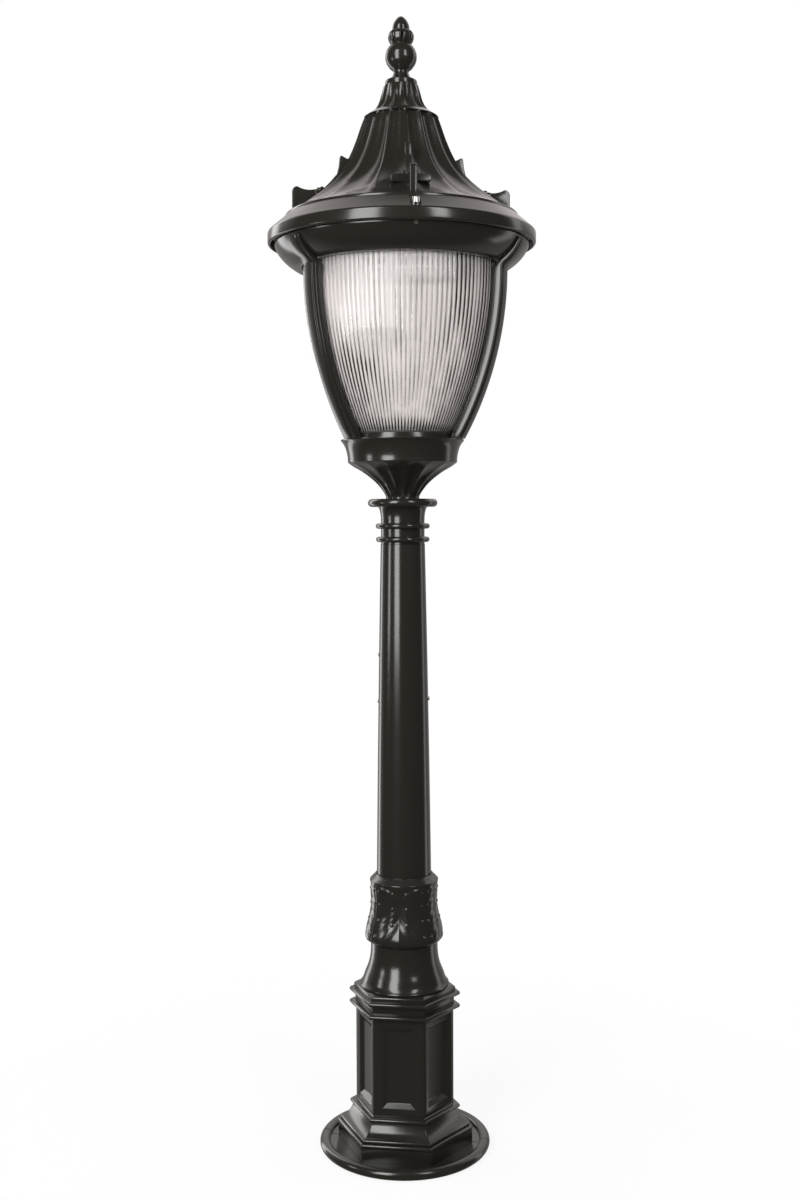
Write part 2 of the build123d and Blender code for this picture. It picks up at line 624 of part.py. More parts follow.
def arm_band(width, arc, lift):
    """Upright band of a cage arm: follows the globe, then turns out along the crown ring."""
    bend = CAGE_TOP - ARM_BEND_RISE
    low, high = (CUP_TOP + bend) / 2, (CUP_TOP + CAGE_TOP) / 2
    foot_out, foot_in = (cage_r(arc, CUP_TOP), CUP_TOP), (cage_r(ARM_INNER, CUP_TOP), CUP_TOP)
    knee_out, knee_in = (cage_r(arc, bend), bend), (CAGE_ARC_X + ARM_INNER, CAGE_TOP)
    return slab(width, Line(foot_in, foot_out), ThreePointArc(foot_out, (cage_r(arc, low), low), knee_out),
                Polyline(knee_out, cone_point(0, lift), cone_point(0.95, lift), cone_point(0.95, RUN),
                         cone_point(0, RUN), knee_in),
                ThreePointArc(knee_in, (cage_r(ARM_INNER, high), high), foot_in))


def arm(side):
    body = arm_band(ARM_W, ARM_BAR, RUN + ARM_STRAP_T)
    body += arm_band(ARM_RIB_W, CAGE_ARC_R, RUN + ARM_STRAP_T + ARM_RIB_T)
    body -= rod(SEAT_R + FIT, CUP_TOP - 1, GLOBE_FOOT)
    body -= rod(ARM_PIN_R + PRESS, CUP_TOP - 1, CUP_TOP + ARM_PIN_IN_ARM + PRESS, ARM_PIN_CIRCLE_R)
    return facing(body, side)


def arm_pins():
    pin = rod(ARM_PIN_R, CUP_TOP - ARM_PIN_IN_CUP, CUP_TOP + ARM_PIN_IN_ARM, ARM_PIN_CIRCLE_R)
    return [facing(pin, side) for side in ARM_ANGLES.values()]


def upright_eye(width, offset, *edges):
    """Hinge plate along +X, set off sideways from the middle, with the hinge's bore left to cut."""
    return Pos(0, offset, 0) * slab(width, *edges)


def hinge_bore(radius):
    return Pos(HINGE_Y, 0, HINGE_Z) * Rot(90, 0, 0) * Cylinder(radius, CLIP)


def crown_ring():
    foot_z, cone_top = CROWN_FOOT, CROWN_FOOT + CROWN_CONE_H
    lip_z, deck_z = foot_z + CROWN_WALL, CROWN_TOP - CROWN_WALL
    slant = sqrt(1 + ((CROWN_TOP_R - CROWN_FOOT_R) / CROWN_CONE_H)**2)
    run = (CROWN_TOP_R - CROWN_FOOT_R) / CROWN_CONE_H
    wall_low = CROWN_FOOT_R + run * (lip_z - foot_z) - CROWN_WALL * slant
    wall_high = CROWN_FOOT_R + run * (deck_z - foot_z) - CROWN_WALL * slant
    ring = spun_points((CROWN_HOLE_R, foot_z), (CROWN_FOOT_R, foot_z), (CROWN_TOP_R, cone_top),
                       (CROWN_TOP_R, CROWN_TOP), (CROWN_MOUTH_R, CROWN_TOP), (CROWN_MOUTH_R, deck_z),
                       (wall_high, deck_z), (wall_low, lip_z), (CROWN_HOLE_R, lip_z))
    eye = HINGE_EYE_R
    low_r = CROWN_FOOT_R + run * (HINGE_Z - eye - foot_z)
    high_r = CROWN_FOOT_R + run * (HINGE_Z + eye - foot_z)
    offset = HINGE_KNUCKLE_W / 2 + HINGE_SIDE_GAP + HINGE_EAR_W / 2
    for way in (-offset, offset):
        ear = upright_eye(HINGE_EAR_W, way, Polyline((HINGE_Y, HINGE_Z + eye), (high_r - 4.5, HINGE_Z + eye),
                          (low_r - 4.5, HINGE_Z - eye), (HINGE_Y, HINGE_Z - eye)),
                          ThreePointArc((HINGE_Y, HINGE_Z - eye), (HINGE_Y + eye, HINGE_Z),
                                        (HINGE_Y, HINGE_Z + eye)))
        ring += facing(ear - hinge_bore(HINGE_PIN_R + PRESS), 180)
    lug_in = ROOF_SEAL_R + ROOF_SEAL_W / 2 + FIT
    lug = Pos((lug_in + LUG_R) / 2, 0, BRIM_FOOT + LUG_H / 2) * Box(LUG_R - lug_in, LUG_W, LUG_H)
    hole = rod(INSERT_R + PRESS, CROWN_FOOT, BRIM_FOOT + LUG_H + 1, SCREW_CIRCLE_R)
    return ring + facing(lug, 0) - facing(hole, 0)


def hinge_pin():
    length = HINGE_KNUCKLE_W + 2 * (HINGE_SIDE_GAP + HINGE_EAR_W) + 2
    return facing(Pos(HINGE_Y, 0, HINGE_Z) * Rot(90, 0, 0) * Cylinder(HINGE_PIN_R, length), 180)


def closing_insert():
    bush = rod(INSERT_R, BRIM_FOOT, BRIM_FOOT + LUG_H, SCREW_CIRCLE_R)
    return facing(bush - rod(SCREW_R + INSERT_GAP, BRIM_FOOT - 1, BRIM_FOOT + LUG_H + 1, SCREW_CIRCLE_R), 0)


def brim_solid():
    foot = BRIM_FOOT
    slope_foot, slope_top = foot + BRIM_FASCIA_H, foot + BRIM_FASCIA_H + BRIM_SLOPE_H
    body = spun_points((0, foot), (BRIM_R, foot), (BRIM_R, slope_foot), (BRIM_STEP_R, slope_top),
                       (BRIM_STEP_R, TIER_FOOT - 0.5), (0, TIER_FOOT - 0.5))
    rims = body.edges().filter_by(GeomType.CIRCLE).sort_by(SortBy.RADIUS)[-2:]
    return fillet(rims, BRIM_ROUND)


def roof_solid():
    """The roof as a full solid, before it is hollowed."""
    body = brim_solid()
    body += fluted(TIER_RIDGE, TIER_FOOT - 1, TIER_H + 1, TIER_TOP_R, TIER_FOOT_R)
    body += spun_points((0, TIER_TOP - 1), (TIER_TOP_R - 2.5, TIER_TOP - 1), (UPPER_FOOT_R - 2, UPPER_FOOT),
                        (0, UPPER_FOOT))
    return body + fluted(UPPER_RIDGE, UPPER_FOOT - 1, UPPER_H + 1, UPPER_TOP_R, UPPER_FOOT_R)


def roof_hollow():
    """Space under the roof, which keeps to the bottoms of the flutes."""
    brim_in = BRIM_R - ROOF_WALL
    slope_in = BRIM_STEP_R - ROOF_WALL
    throat = UPPER_TOP_R - 7
    wall = []
    for share, way, hollow in TIER_RIDGE[1:]:
        wall.append((tier_r(way) * (1 - hollow) - ROOF_WALL, TIER_FOOT + share * TIER_H - ROOF_WALL))
    return spun_points((0, BRIM_FOOT - 1), (brim_in, BRIM_FOOT - 1), (brim_in, BRIM_FOOT + BRIM_FASCIA_H - 1.5),
                       (slope_in, TIER_FOOT - BRIM_STEP_H - ROOF_WALL), *wall, (throat, wall[-1][1]),
                       (throat, ROOF_TOP - ROOF_TOP_WALL), (0, ROOF_TOP - ROOF_TOP_WALL))


def knuckle():
    """Middle eye of the hinge, on the rear of the brim."""
    eye = HINGE_EYE_R
    root, top = BRIM_R - 2.3, BRIM_FOOT + BRIM_FASCIA_H - BRIM_ROUND
    plate = slab(HINGE_KNUCKLE_W, Polyline((HINGE_Y + eye, HINGE_Z), (HINGE_Y + eye, HINGE_Z + 2), (BRIM_R + 4, top),
                 (root, top), (root, BRIM_FOOT + BRIM_ROUND), (HINGE_Y - eye, HINGE_Z)),
                 ThreePointArc((HINGE_Y - eye, HINGE_Z), (HINGE_Y, HINGE_Z - eye), (HINGE_Y + eye, HINGE_Z)))
    return facing(plate - hinge_bore(HINGE_PIN_R + RUN), 180)


def roof_shell(full):
    body = full - roof_hollow()
    rib_r = ROOF_SEAL_R + REST_RIB_W / 2
    body += ring_solid(rib_r, rib_r - REST_RIB_W, REST_FOOT, TIER_FOOT - BRIM_STEP_H - ROOF_WALL - 1)
    boss = rod(REFLECTOR_BOSS_R, BRIM_FOOT + REFLECTOR_RISE, TIER_TOP, REFLECTOR_BOSS_CIRCLE_R)
    boss = common(Rot(0, 0, 30) * boss, full)
    boss -= Rot(0, 0, 30) * rod(REFLECTOR_SCREW_R + PRESS, BRIM_FOOT, BRIM_FOOT + REFLECTOR_RISE
                                + REFLECTOR_SCREW_BITE + PRESS, REFLECTOR_BOSS_CIRCLE_R)
    body += around(boss, REFLECTOR_BOSSES)
    post = facing(rod(SCREW_BOSS_R, SCREW_SEAT - SCREW_BOSS_H, TIER_FOOT, SCREW_CIRCLE_R), 0)
    body += common(post, full)
    body -= facing(rod(SCREW_POCKET_R, SCREW_SEAT, TIER_FOOT + 9, SCREW_CIRCLE_R), 0)
    body -= facing(rod(SCREW_R + FIT, BRIM_FOOT, SCREW_SEAT + 1, SCREW_CIRCLE_R), 0)
    body -= rod(STUD_R + PRESS, ROOF_TOP - ROOF_TOP_WALL - 1, ROOF_TOP + 1)
    return body + knuckle()


def tier_r(way):
    """Radius a share of the way from the tier's top ridge to its foot ridge."""
    return TIER_TOP_R + (TIER_FOOT_R - TIER_TOP_R) * way


def crest(side, full):
    """Cut-out crest that stands on one ridge of the roof, with a cross bar."""
    z0 = TIER_FOOT
    corner = CREST_CORNER
    bend = sqrt(0.5)
    edge_r, dip_r, bump_r = tier_r(CREST_WAY), tier_r(CREST_DIP_WAY), tier_r(CREST_BUMP_WAY)
    top = z0 + CREST_TOP_RISE
    bump, neck = (bump_r, z0 + CREST_BUMP_RISE), (tier_r(CREST_NECK_WAY), z0 + CREST_NECK_RISE)
    tip = (tier_r(CREST_TIP_WAY), z0 + CREST_TIP_RISE)
    inside = [(tier_r(way) - CREST_T, z0 + share * TIER_H) for share, way, hollow in TIER_RIDGE[1:7]]
    plate = slab(CREST_T, Line((edge_r, z0 + 0.5), (edge_r, top - corner)),
                 ThreePointArc((edge_r, top - corner), (edge_r - corner * (1 - bend), top - corner * (1 - bend)),
                               (edge_r - corner, top)),
                 ThreePointArc((edge_r - corner, top), (dip_r, z0 + CREST_DIP_RISE), bump),
                 Polyline(bump, (bump_r - 2, z0 + CREST_BUMP_RISE - CREST_STRIP), neck,
                          (tip[0] + 2.5, tip[1] - 2.5), tip, (tip[0] - CREST_TIP_W, tip[1] - 4.5),
                          *reversed(inside), (edge_r, z0 + 0.5)))
    bar_foot = z0 + 0.16 * TIER_H
    plate += Pos(tier_r(CREST_BAR_WAY), 0, bar_foot + CREST_BAR_H / 2) * Box(CREST_BAR_T, CREST_BAR_W, CREST_BAR_H)
    cut = facing(plate, side) - full
    return cut.solids().sort_by(SortBy.VOLUME)[-1]


def finial():
    z0 = ROOF_TOP
    rule = ((1.0, 2.5), (0.87, 7.0), (0.64, 11.0), (0.49, 15.0), (0.5, 18.0), (0.7, 21.8), (0.89, 27.2),
            (0.975, 35.0), (0.9, 43.0), (0.72, 48.0), (0.58, 51.5), (0.57, 57.0), (0.51, 62.5), (0.53, 69.5),
            (0.47, 74.0), (0.32, 79.0), (0.15, 82.3), (0.0, 83.5))
    size = FINIAL_H / rule[-1][1]
    edge = [(FINIAL_DISC_R * share, z0 + rise * size) for share, rise in rule]
    body = spun(Polyline((0, edge[-1][1]), (0, z0), (FINIAL_DISC_R, z0), edge[0]), Spline(*edge))
    knob = Pos(FINIAL_KNOB_CIRCLE_R, 0, z0 + 59.5 * size) * Sphere(FINIAL_KNOB_R)
    body += around(knob, FINIAL_KNOBS, 180 / FINIAL_KNOBS)
    return body - rod(STUD_R + PRESS, z0 - 1, z0 + STUD_IN_FINIAL + PRESS)


def finial_stud():
    seat = ROOF_TOP - ROOF_TOP_WALL
    return rod(STUD_R, seat - NUT_H - STUD_TAIL, ROOF_TOP + STUD_IN_FINIAL)


def hex_nut(corner_r, bore_r, foot, height):
    return hexagon(corner_r, foot, height) - rod(bore_r, foot - 1, foot + height + 1)


def reflector():
    z0 = BRIM_FOOT + REFLECTOR_RISE
    disc = rod(REFLECTOR_R, z0 - REFLECTOR_T, z0)
    hole = Rot(0, 0, 30) * rod(REFLECTOR_SCREW_R + RUN, z0 - REFLECTOR_T - 1, z0 + 1, REFLECTOR_BOSS_CIRCLE_R)
    return disc - around(hole, REFLECTOR_BOSSES)


def reflector_screws():
    z0 = BRIM_FOOT + REFLECTOR_RISE
    under = z0 - REFLECTOR_T
    screw = rod(REFLECTOR_SCREW_R, under, z0 + REFLECTOR_SCREW_BITE, REFLECTOR_BOSS_CIRCLE_R)
    screw += rod(REFLECTOR_SCREW_HEAD_R, under - REFLECTOR_SCREW_HEAD_H, under, REFLECTOR_BOSS_CIRCLE_R)
    return around(Rot(0, 0, 30) * screw, REFLECTOR_BOSSES)


def screw_washer():
    disc = rod(WASHER_R, SCREW_SEAT, SCREW_SEAT + WASHER_T, SCREW_CIRCLE_R)
    return facing(disc - rod(SCREW_R + RUN, SCREW_SEAT - 1, SCREW_SEAT + WASHER_T + 1, SCREW_CIRCLE_R), 0)


def closing_screw():
    under = SCREW_SEAT + WASHER_T
    top = under + SCREW_HEAD_H
    head = rod(SCREW_HEAD_R, under, top, SCREW_CIRCLE_R)
    head = fillet(head.edges().group_by(Axis.Z)[-1], 1.0)
    socket = Pos(SCREW_CIRCLE_R, 0, top - SCREW_SOCKET_DEPTH) * extrude(RegularPolygon(SCREW_SOCKET_R, 6), 9)
    return facing(head + rod(SCREW_R, BRIM_FOOT - SCREW_TIP_SHOW, under + 1, SCREW_CIRCLE_R) - socket, 0)


def nipple():
    foot = CUP_FOOT - STEM_TOP_WALL - NIPPLE_NUT_H - NIPPLE_TAIL
    return ring_solid(NIPPLE_R, NIPPLE_BORE_R, foot, HOLDER_FOOT + HOLDER_GRIP)


def nipple_nuts():
    return [hex_nut(NIPPLE_NUT_R, NIPPLE_R + PRESS, CUP_FOOT - STEM_TOP_WALL - NIPPLE_NUT_H, NIPPLE_NUT_H),
            hex_nut(NIPPLE_NUT_R, NIPPLE_R + PRESS, CUP_FLOOR_TOP, NIPPLE_NUT_H)]


def lamp_holder():
    top = HOLDER_FOOT + HOLDER_H
    body = fillet(rod(HOLDER_R, HOLDER_FOOT, top).edges(), 2.0)
    body -= rod(NIPPLE_R + PRESS, HOLDER_FOOT - 1, HOLDER_FOOT + HOLDER_GRIP + PRESS)
    return body - rod(BULB_CAP_R + BULB_CAP_GAP, top - HOLDER_SOCKET_H, top + 1)


def bulb_cap():
    foot = HOLDER_FOOT + HOLDER_H - HOLDER_SOCKET_H
    return rod(BULB_CAP_R, foot + 3, foot + 3 + BULB_CAP_H) + rod(4.5, foot, foot + 3)


def bulb_glass():
    foot = HOLDER_FOOT + HOLDER_H - HOLDER_SOCKET_H + 3 + BULB_CAP_H
    top = foot + BULB_GLASS_H
    mid = top - BULB_R

    def outline(wall):
        neck, ball = BULB_CAP_R - wall, BULB_R - wall
        side = Spline((neck, foot), (neck + 3, foot + 0.2 * BULB_GLASS_H), (ball, mid), tangents=((0, 1), (0, 1)))
        return spun(side, ThreePointArc((ball, mid), (ball * sqrt(0.5), mid + ball * sqrt(0.5)), (0, mid + ball)),
                    Polyline((0, mid + ball), (0, foot), (neck, foot)))

    return outline(0) - outline(BULB_WALL)


def terminal_block():
    block = Pos(TERMINAL_X, 0, CUP_FLOOR_TOP + TERMINAL_H / 2) * Box(TERMINAL_D, TERMINAL_W, TERMINAL_H)
    for y in (-TERMINAL_W / 4, TERMINAL_W / 4):
        wire = Pos(TERMINAL_X, y, CUP_FLOOR_TOP + TERMINAL_H / 2) * Rot(0, 90, 0)
        block -= wire * Cylinder(TERMINAL_WIRE_R, TERMINAL_D + 2)
    return block


def turned(shape):
    """Set a piece of the lantern at its angle on the post."""
    pieces = shape if isinstance(shape, list) else [shape]
    return [Rot(0, 0, LANTERN_TURN) * piece for piece in pieces]


full_roof = roof_solid()
post = {
    "base_plate": base_plate(), "inner_tube": inner_tube(),
    "base_ring_front": base_ring(-1), "base_ring_rear": base_ring(1),
    "pedestal": pedestal(), "bell": bell(), "leaf_collar": leaf_collar(),
    "shaft": shaft(), "shaft_screws": shaft_screws(),
    "lower_sleeve": sleeve(LOWER_SLEEVE_RISE), "upper_sleeve": sleeve(UPPER_SLEEVE_RISE),
    "capital": capital(), "grub_screws": grub_screws(),
}
lantern = {
    "stem": stem(), "cup": cup(),
    "globe_seat": ring_solid(SEAT_R, SEAT_R - SEAT_W, SEAT_FOOT, SEAT_TOP),
    "lower_seal": ring_solid(SEAT_R, SEAT_R - SEAT_W, SEAT_TOP, GLOBE_FOOT),
    "globe": globe(), "arm_pins": arm_pins(), "crown_ring": crown_ring(),
    "upper_seal": ring_solid(CROWN_HOLE_R - PRESS, GLOBE_TOP_R + PRESS, CROWN_FOOT,
                             CROWN_FOOT + CROWN_WALL),
    "roof_seal": ring_solid(ROOF_SEAL_R + ROOF_SEAL_W / 2, ROOF_SEAL_R - ROOF_SEAL_W / 2, CROWN_TOP,
                            CROWN_TOP + SEAL_T),
    "hinge_pin": hinge_pin(), "closing_insert": closing_insert(),
    "nipple": nipple(), "nipple_nuts": nipple_nuts(), "lamp_holder": lamp_holder(),
    "bulb_cap": bulb_cap(), "bulb_glass": bulb_glass(), "terminal_block": terminal_block(),
    "roof_shell": roof_shell(full_roof), "finial": finial(), "finial_stud": finial_stud(),
    "finial_nut": hex_nut(NUT_R, STUD_R + PRESS, ROOF_TOP - ROOF_TOP_WALL - NUT_H, NUT_H),
    "reflector": reflector(), "reflector_screws": reflector_screws(),
    "screw_washer": screw_washer(), "closing_screw": closing_screw(),
}
for name, side in ARM_ANGLES.items():
    lantern[name] = arm(side)
for name, side in (("front", 0), ("right", 90), ("rear", 180), ("left", 270)):
    lantern["crest_" + name] = crest(side, full_roof)

os.makedirs("parts", exist_ok=True)
nodes = dict(post)
for name, shape in lantern.items():
    nodes[name] = turned(shape)
for name, shape in nodes.items():
    solids = shape if isinstance(shape, list) else [shape]
    whole = solids[0] if len(solids) == 1 else Compound(children=solids)
    export_step(whole, "parts/" + name + ".step")
    box = whole.bounding_box()
    print(name, round(whole.volume), "mm3, z", round(box.min.Z, 1), "to", round(box.max.Z, 1))
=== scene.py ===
# %% [markdown]
# Outdoor lamp post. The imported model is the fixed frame: it says where each piece sits and how it moves.
# This lesson dresses that frame. Each visible piece is modelled again with rounded edges and its
# ornament, rides on the body it belongs to, and gets a finish of its own.

# %% Load the frame
from math import atan2, cos, exp, hypot, pi, radians, sin, sqrt

import bmesh
import bpy
from mathutils import Matrix, Vector


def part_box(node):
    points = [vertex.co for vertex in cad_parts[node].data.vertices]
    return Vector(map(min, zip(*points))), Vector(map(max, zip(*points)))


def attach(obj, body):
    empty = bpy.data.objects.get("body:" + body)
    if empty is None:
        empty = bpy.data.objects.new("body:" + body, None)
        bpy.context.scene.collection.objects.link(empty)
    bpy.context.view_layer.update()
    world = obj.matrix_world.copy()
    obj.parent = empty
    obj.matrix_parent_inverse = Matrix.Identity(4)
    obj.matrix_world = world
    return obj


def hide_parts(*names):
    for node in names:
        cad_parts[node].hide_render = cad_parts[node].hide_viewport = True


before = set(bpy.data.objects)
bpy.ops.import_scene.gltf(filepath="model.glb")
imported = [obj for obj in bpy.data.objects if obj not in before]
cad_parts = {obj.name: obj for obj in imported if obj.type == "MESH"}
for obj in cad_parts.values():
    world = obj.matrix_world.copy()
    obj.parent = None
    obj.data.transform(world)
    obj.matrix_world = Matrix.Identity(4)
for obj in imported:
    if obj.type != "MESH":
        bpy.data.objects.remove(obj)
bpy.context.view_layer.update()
MM = 0.001


def levels(node):
    """Lowest and highest point of a node, in millimetres."""
    low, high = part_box(node)
    return low.z / MM, high.z / MM


def reach(node):
    """Largest distance of a round node from the post's axis, in millimetres."""
    return max(abs(v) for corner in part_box(node) for v in corner.xy) / MM


# %% [markdown]
# Most of the lamp is turned: a half outline in radius and height, spun about the post's axis. The outlines
# are short lists of points joined by arcs and soft curves. They could be drawn as Bezier curves, but plain
# lists stay easy to read, and the spin operator gives clean rows of quads that can be fluted afterwards.

# %% Outlines
def arc(start, through, end, count=8):
    """Points of the circle through three points, in order from start to end."""
    (ax, ay), (bx, by), (cx, cy) = start, through, end
    d = 2 * (ax * (by - cy) + bx * (cy - ay) + cx * (ay - by))
    ux = ((ax**2 + ay**2) * (by - cy) + (bx**2 + by**2) * (cy - ay) + (cx**2 + cy**2) * (ay - by)) / d
    uy = ((ax**2 + ay**2) * (cx - bx) + (bx**2 + by**2) * (ax - cx) + (cx**2 + cy**2) * (bx - ax)) / d
    turn = [atan2(y - uy, x - ux) for x, y in (start, through, end)]
    radius = hypot(ax - ux, ay - uy)
    sweep, part = (turn[2] - turn[0]) % (2 * pi), (turn[1] - turn[0]) % (2 * pi)
    if part > sweep:
        sweep -= 2 * pi
    angles = [turn[0] + sweep * i / count for i in range(count + 1)]
    return [(ux + radius * cos(a), uy + radius * sin(a)) for a in angles]


def soft(points, count=6):
    """A soft curve through the points: each stretch bends with its neighbours."""
    ends = [points[0], *points, points[-1]]
    path = []
    for p, q, r, s in zip(ends, ends[1:], ends[2:], ends[3:]):
        for i in range(count):
            t = i / count
            path.append(tuple(0.5 * (2 * b + (c - a) * t + (2 * a - 5 * b + 4 * c - d) * t**2
                                     + (3 * b - a - 3 * c + d) * t**3) for a, b, c, d in zip(p, q, r, s)))
    return path + [points[-1]]


def lifted(foot, points):
    """The points of an outline, with their heights counted from a foot."""
    return [(r, foot + z) for r, z in points]


print("outline helpers ready")

# %% [markdown]
# A spun shape closes on itself, so its doubles are merged and its faces turned outwards. Edges that turn
# sharply are marked sharp and the rest is shaded smooth, which keeps rims crisp and columns round.

# %% Turned shapes and pieces
ROUND = 144
CREASE = radians(38)


def lathe(outline, steps=ROUND, closed=True):
    """Spin an outline in millimetres about the post's axis."""
    bm = bmesh.new()
    verts = [bm.verts.new((r * MM, 0, z * MM)) for r, z in outline]
    pairs = list(zip(verts, verts[1:])) + ([(verts[-1], verts[0])] if closed else [])
    edges = [bm.edges.new(pair) for pair in pairs]
    bmesh.ops.spin(bm, geom=verts + edges, cent=(0, 0, 0), axis=(0, 0, 1), angle=2 * pi, steps=steps,
                   use_merge=True)
    bmesh.ops.remove_doubles(bm, verts=bm.verts, dist=1e-6)
    bmesh.ops.recalc_face_normals(bm, faces=bm.faces)
    return bm


def round_edges(bm, width, chosen=None, segments=2):
    """Bevel the sharp edges, or the chosen ones, by a width in millimetres."""
    sharp = chosen or [e for e in bm.edges if len(e.link_faces) == 2 and e.calc_face_angle(0) > CREASE]
    bmesh.ops.bevel(bm, geom=sharp, offset=width * MM, offset_type="OFFSET", affect="EDGES",
                    segments=segments, profile=0.5, material=-1, clamp_overlap=True)
    return bm


def polar(v):
    return hypot(v.co.x, v.co.y), atan2(v.co.y, v.co.x)


def set_radius(v, radius):
    """Move a vertex straight out from the axis to a radius in metres."""
    old = hypot(v.co.x, v.co.y)
    v.co.x *= radius / old
    v.co.y *= radius / old


def turned(bm, degrees_round):
    """Turn a shape about the post's axis."""
    turn = Matrix.Rotation(radians(degrees_round), 3, "Z")
    bmesh.ops.rotate(bm, verts=bm.verts, cent=(0, 0, 0), matrix=turn)
    return bm


def mesh_of(bm, name):
    """Turn a bmesh into a mesh and free it."""
    mesh = bpy.data.meshes.new(name)
    bm.to_mesh(mesh)
    bm.free()
    return mesh


def placed(name, data):
    """Link a mesh, light or camera to the scene as an object."""
    made = bpy.data.objects.new(name, data)
    bpy.context.scene.collection.objects.link(made)
    return made


def join(bm, part):
    """Add a second shape to a bmesh and free it."""
    mesh = mesh_of(part, "part")
    bm.from_mesh(mesh)
    bpy.data.meshes.remove(mesh)
    return bm


def piece(name, bm, finish, body, nodes=(), crease=CREASE, lining=None):
    """Make a bmesh an object that rides on a body and stands for CAD nodes."""
    for edge in bm.edges:
        edge.smooth = not (len(edge.link_faces) == 2 and edge.calc_face_angle(0) > crease)
    for face in bm.faces:
        face.smooth = True
    mesh = mesh_of(bm, name)
    mesh.materials.append(finish)
    if lining:
        mesh.materials.append(lining)
    made = placed(name, mesh)
    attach(made, body)
    if nodes:
        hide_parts(*nodes)
    print(f"{name}: {len(mesh.polygons)} faces")
    return made


# %% [markdown]
# Shader maths reads best as plain expressions. This small class wraps one socket, so a sum or a product of
# two sockets adds its Math node, and one method makes any other node from its settings and links.

# %% Shader maths
class Finish:
    """A material, or the world, under construction."""

    def __init__(self, name, world=None):
        self.material = world or bpy.data.materials.new(name)
        self.material.use_nodes = True
        self.tree = self.material.node_tree
        self.shader = self.tree.nodes["Background" if world else "Principled BSDF"]

    def node(self, kind, settings=None, values=None, output=0):
        made = self.tree.nodes.new("ShaderNode" + kind)
        for key, value in (settings or {}).items():
            setattr(made, key, value)
        for key, value in (values or {}).items():
            self.put(made.inputs[key], value)
        return Value(self, made.outputs[output])

    def put(self, socket, value):
        if isinstance(value, Value):
            self.tree.links.new(value.socket, socket)
        else:
            socket.default_value = value

    def set(self, **values):
        for key, value in values.items():
            self.put(self.shader.inputs[key.replace("_", " ")], value)
        return self.material


class Value:
    """One socket, with the operators that the finishes use."""

    def __init__(self, finish, socket):
        self.finish, self.socket = finish, socket

    def math(self, operation, first, second, clamp=False):
        return self.finish.node("Math", {"operation": operation, "use_clamp": clamp}, {0: first, 1: second})

    def __add__(self, other):
        return self.math("ADD", self, other)

    def __sub__(self, other):
        return self.math("SUBTRACT", self, other)

    def __rsub__(self, other):
        return self.math("SUBTRACT", other, self)

    def __mul__(self, other):
        return self.math("MULTIPLY", self, other)

    __radd__, __rmul__ = __add__, __mul__

    def above(self, edge, width):
        """0 below edge, 1 above edge + width, straight between."""
        return self.math("MULTIPLY", self - edge, 1 / width, clamp=True)


def colour_mix(finish, share, low, high):
    return finish.node("Mix", {"data_type": "RGBA"}, {0: share, 6: low, 7: high}, output=2)


def noise(finish, scale, detail=3.0, stretch=(1, 1, 1)):
    """Noise on the piece's own place in the frame, in cycles per metre."""
    place = finish.node("TexCoord", output=3)
    place = finish.node("Mapping", None, {"Vector": place, "Scale": stretch})
    return finish.node("TexNoise", None, {"Vector": place, "Scale": scale, "Detail": detail})


print("shader helpers ready")

# %% [markdown]
# The post, the cage and the roof are injection mouldings in a warm black gloss plastic. Up close such a
# surface is not a perfect mirror: it has a faint orange peel, shrinks a little over thick ribs, and gathers
# a thin haze of dust where it faces up. Those three are enough to keep large dark faces alive.

# %% Black moulding
def black_moulding():
    finish = Finish("black moulding")
    cloud = noise(finish, 14.0)
    fine = noise(finish, 420.0, 2.0)
    ripple = noise(finish, 60.0, 1.0)
    normal = finish.node("NewGeometry", output=1)
    up = finish.node("SeparateXYZ", None, {0: normal}, output=2)
    dust = up.above(0.35, 0.6) * cloud.above(0.42, 0.3)
    tone = colour_mix(finish, dust * 0.35, (0.0145, 0.0133, 0.0106, 1), (0.034, 0.031, 0.028, 1))
    rough = 0.13 + cloud * 0.07 + dust * 0.12 + fine * 0.03
    height = ripple * 0.6 + fine * 0.12
    peel = finish.node("Bump", None, {"Strength": 0.05, "Distance": 0.0006, "Height": height})
    return finish.set(Base_Color=tone, Roughness=rough, Normal=peel, Specular_IOR_Level=0.55, IOR=1.5)


BLACK = black_moulding()
print("finish:", BLACK.name)

# %% [markdown]
# The other finishes: dull zinc on the hidden steel core, bright plating on the screws, and plain rubber,
# brass, white plastic and frosted glass inside the lantern.

# %% Metals, plastics and the rest
def grained(name, tone, rough, scale=160.0, spread=0.1, metallic=0.0):
    """Finish with a fine grain in its tone, its roughness and its surface."""
    finish = Finish(name)
    detail, dim, strength = (4.0, 0.82, 0.08) if metallic else (3.0, 0.86, 0.06)
    grain = noise(finish, scale, detail)
    shade = colour_mix(finish, grain, tuple(c * dim for c in tone) + (1,), tone + (1,))
    bump = finish.node("Bump", None, {"Strength": strength, "Distance": 0.0003, "Height": grain})
    return finish.set(Base_Color=shade, Metallic=metallic, Roughness=rough + grain * spread, Normal=bump)


ZINC = grained("galvanised steel", (0.56, 0.57, 0.58), 0.38, 90.0, 0.2, 1.0)
BRIGHT = grained("bright plating", (0.82, 0.81, 0.79), 0.12, 240.0, 0.08, 1.0)
BRASS = grained("brass", (0.72, 0.53, 0.23), 0.24, 200.0, 0.08, 1.0)
CAP_METAL = grained("lamp cap", (0.72, 0.72, 0.71), 0.25, 300.0, 0.08, 1.0)
RUBBER = grained("seal rubber", (0.022, 0.022, 0.022), 0.62)
GREY = grained("grey sleeve plastic", (0.2, 0.2, 0.21), 0.45)
WHITE = grained("white holder plastic", (0.78, 0.77, 0.73), 0.3)
SHEET = grained("white reflector paint", (0.9, 0.89, 0.88), 0.35)
FROST = grained("frosted lamp glass", (0.92, 0.91, 0.89), 0.35)
print("finishes:", len(bpy.data.materials))

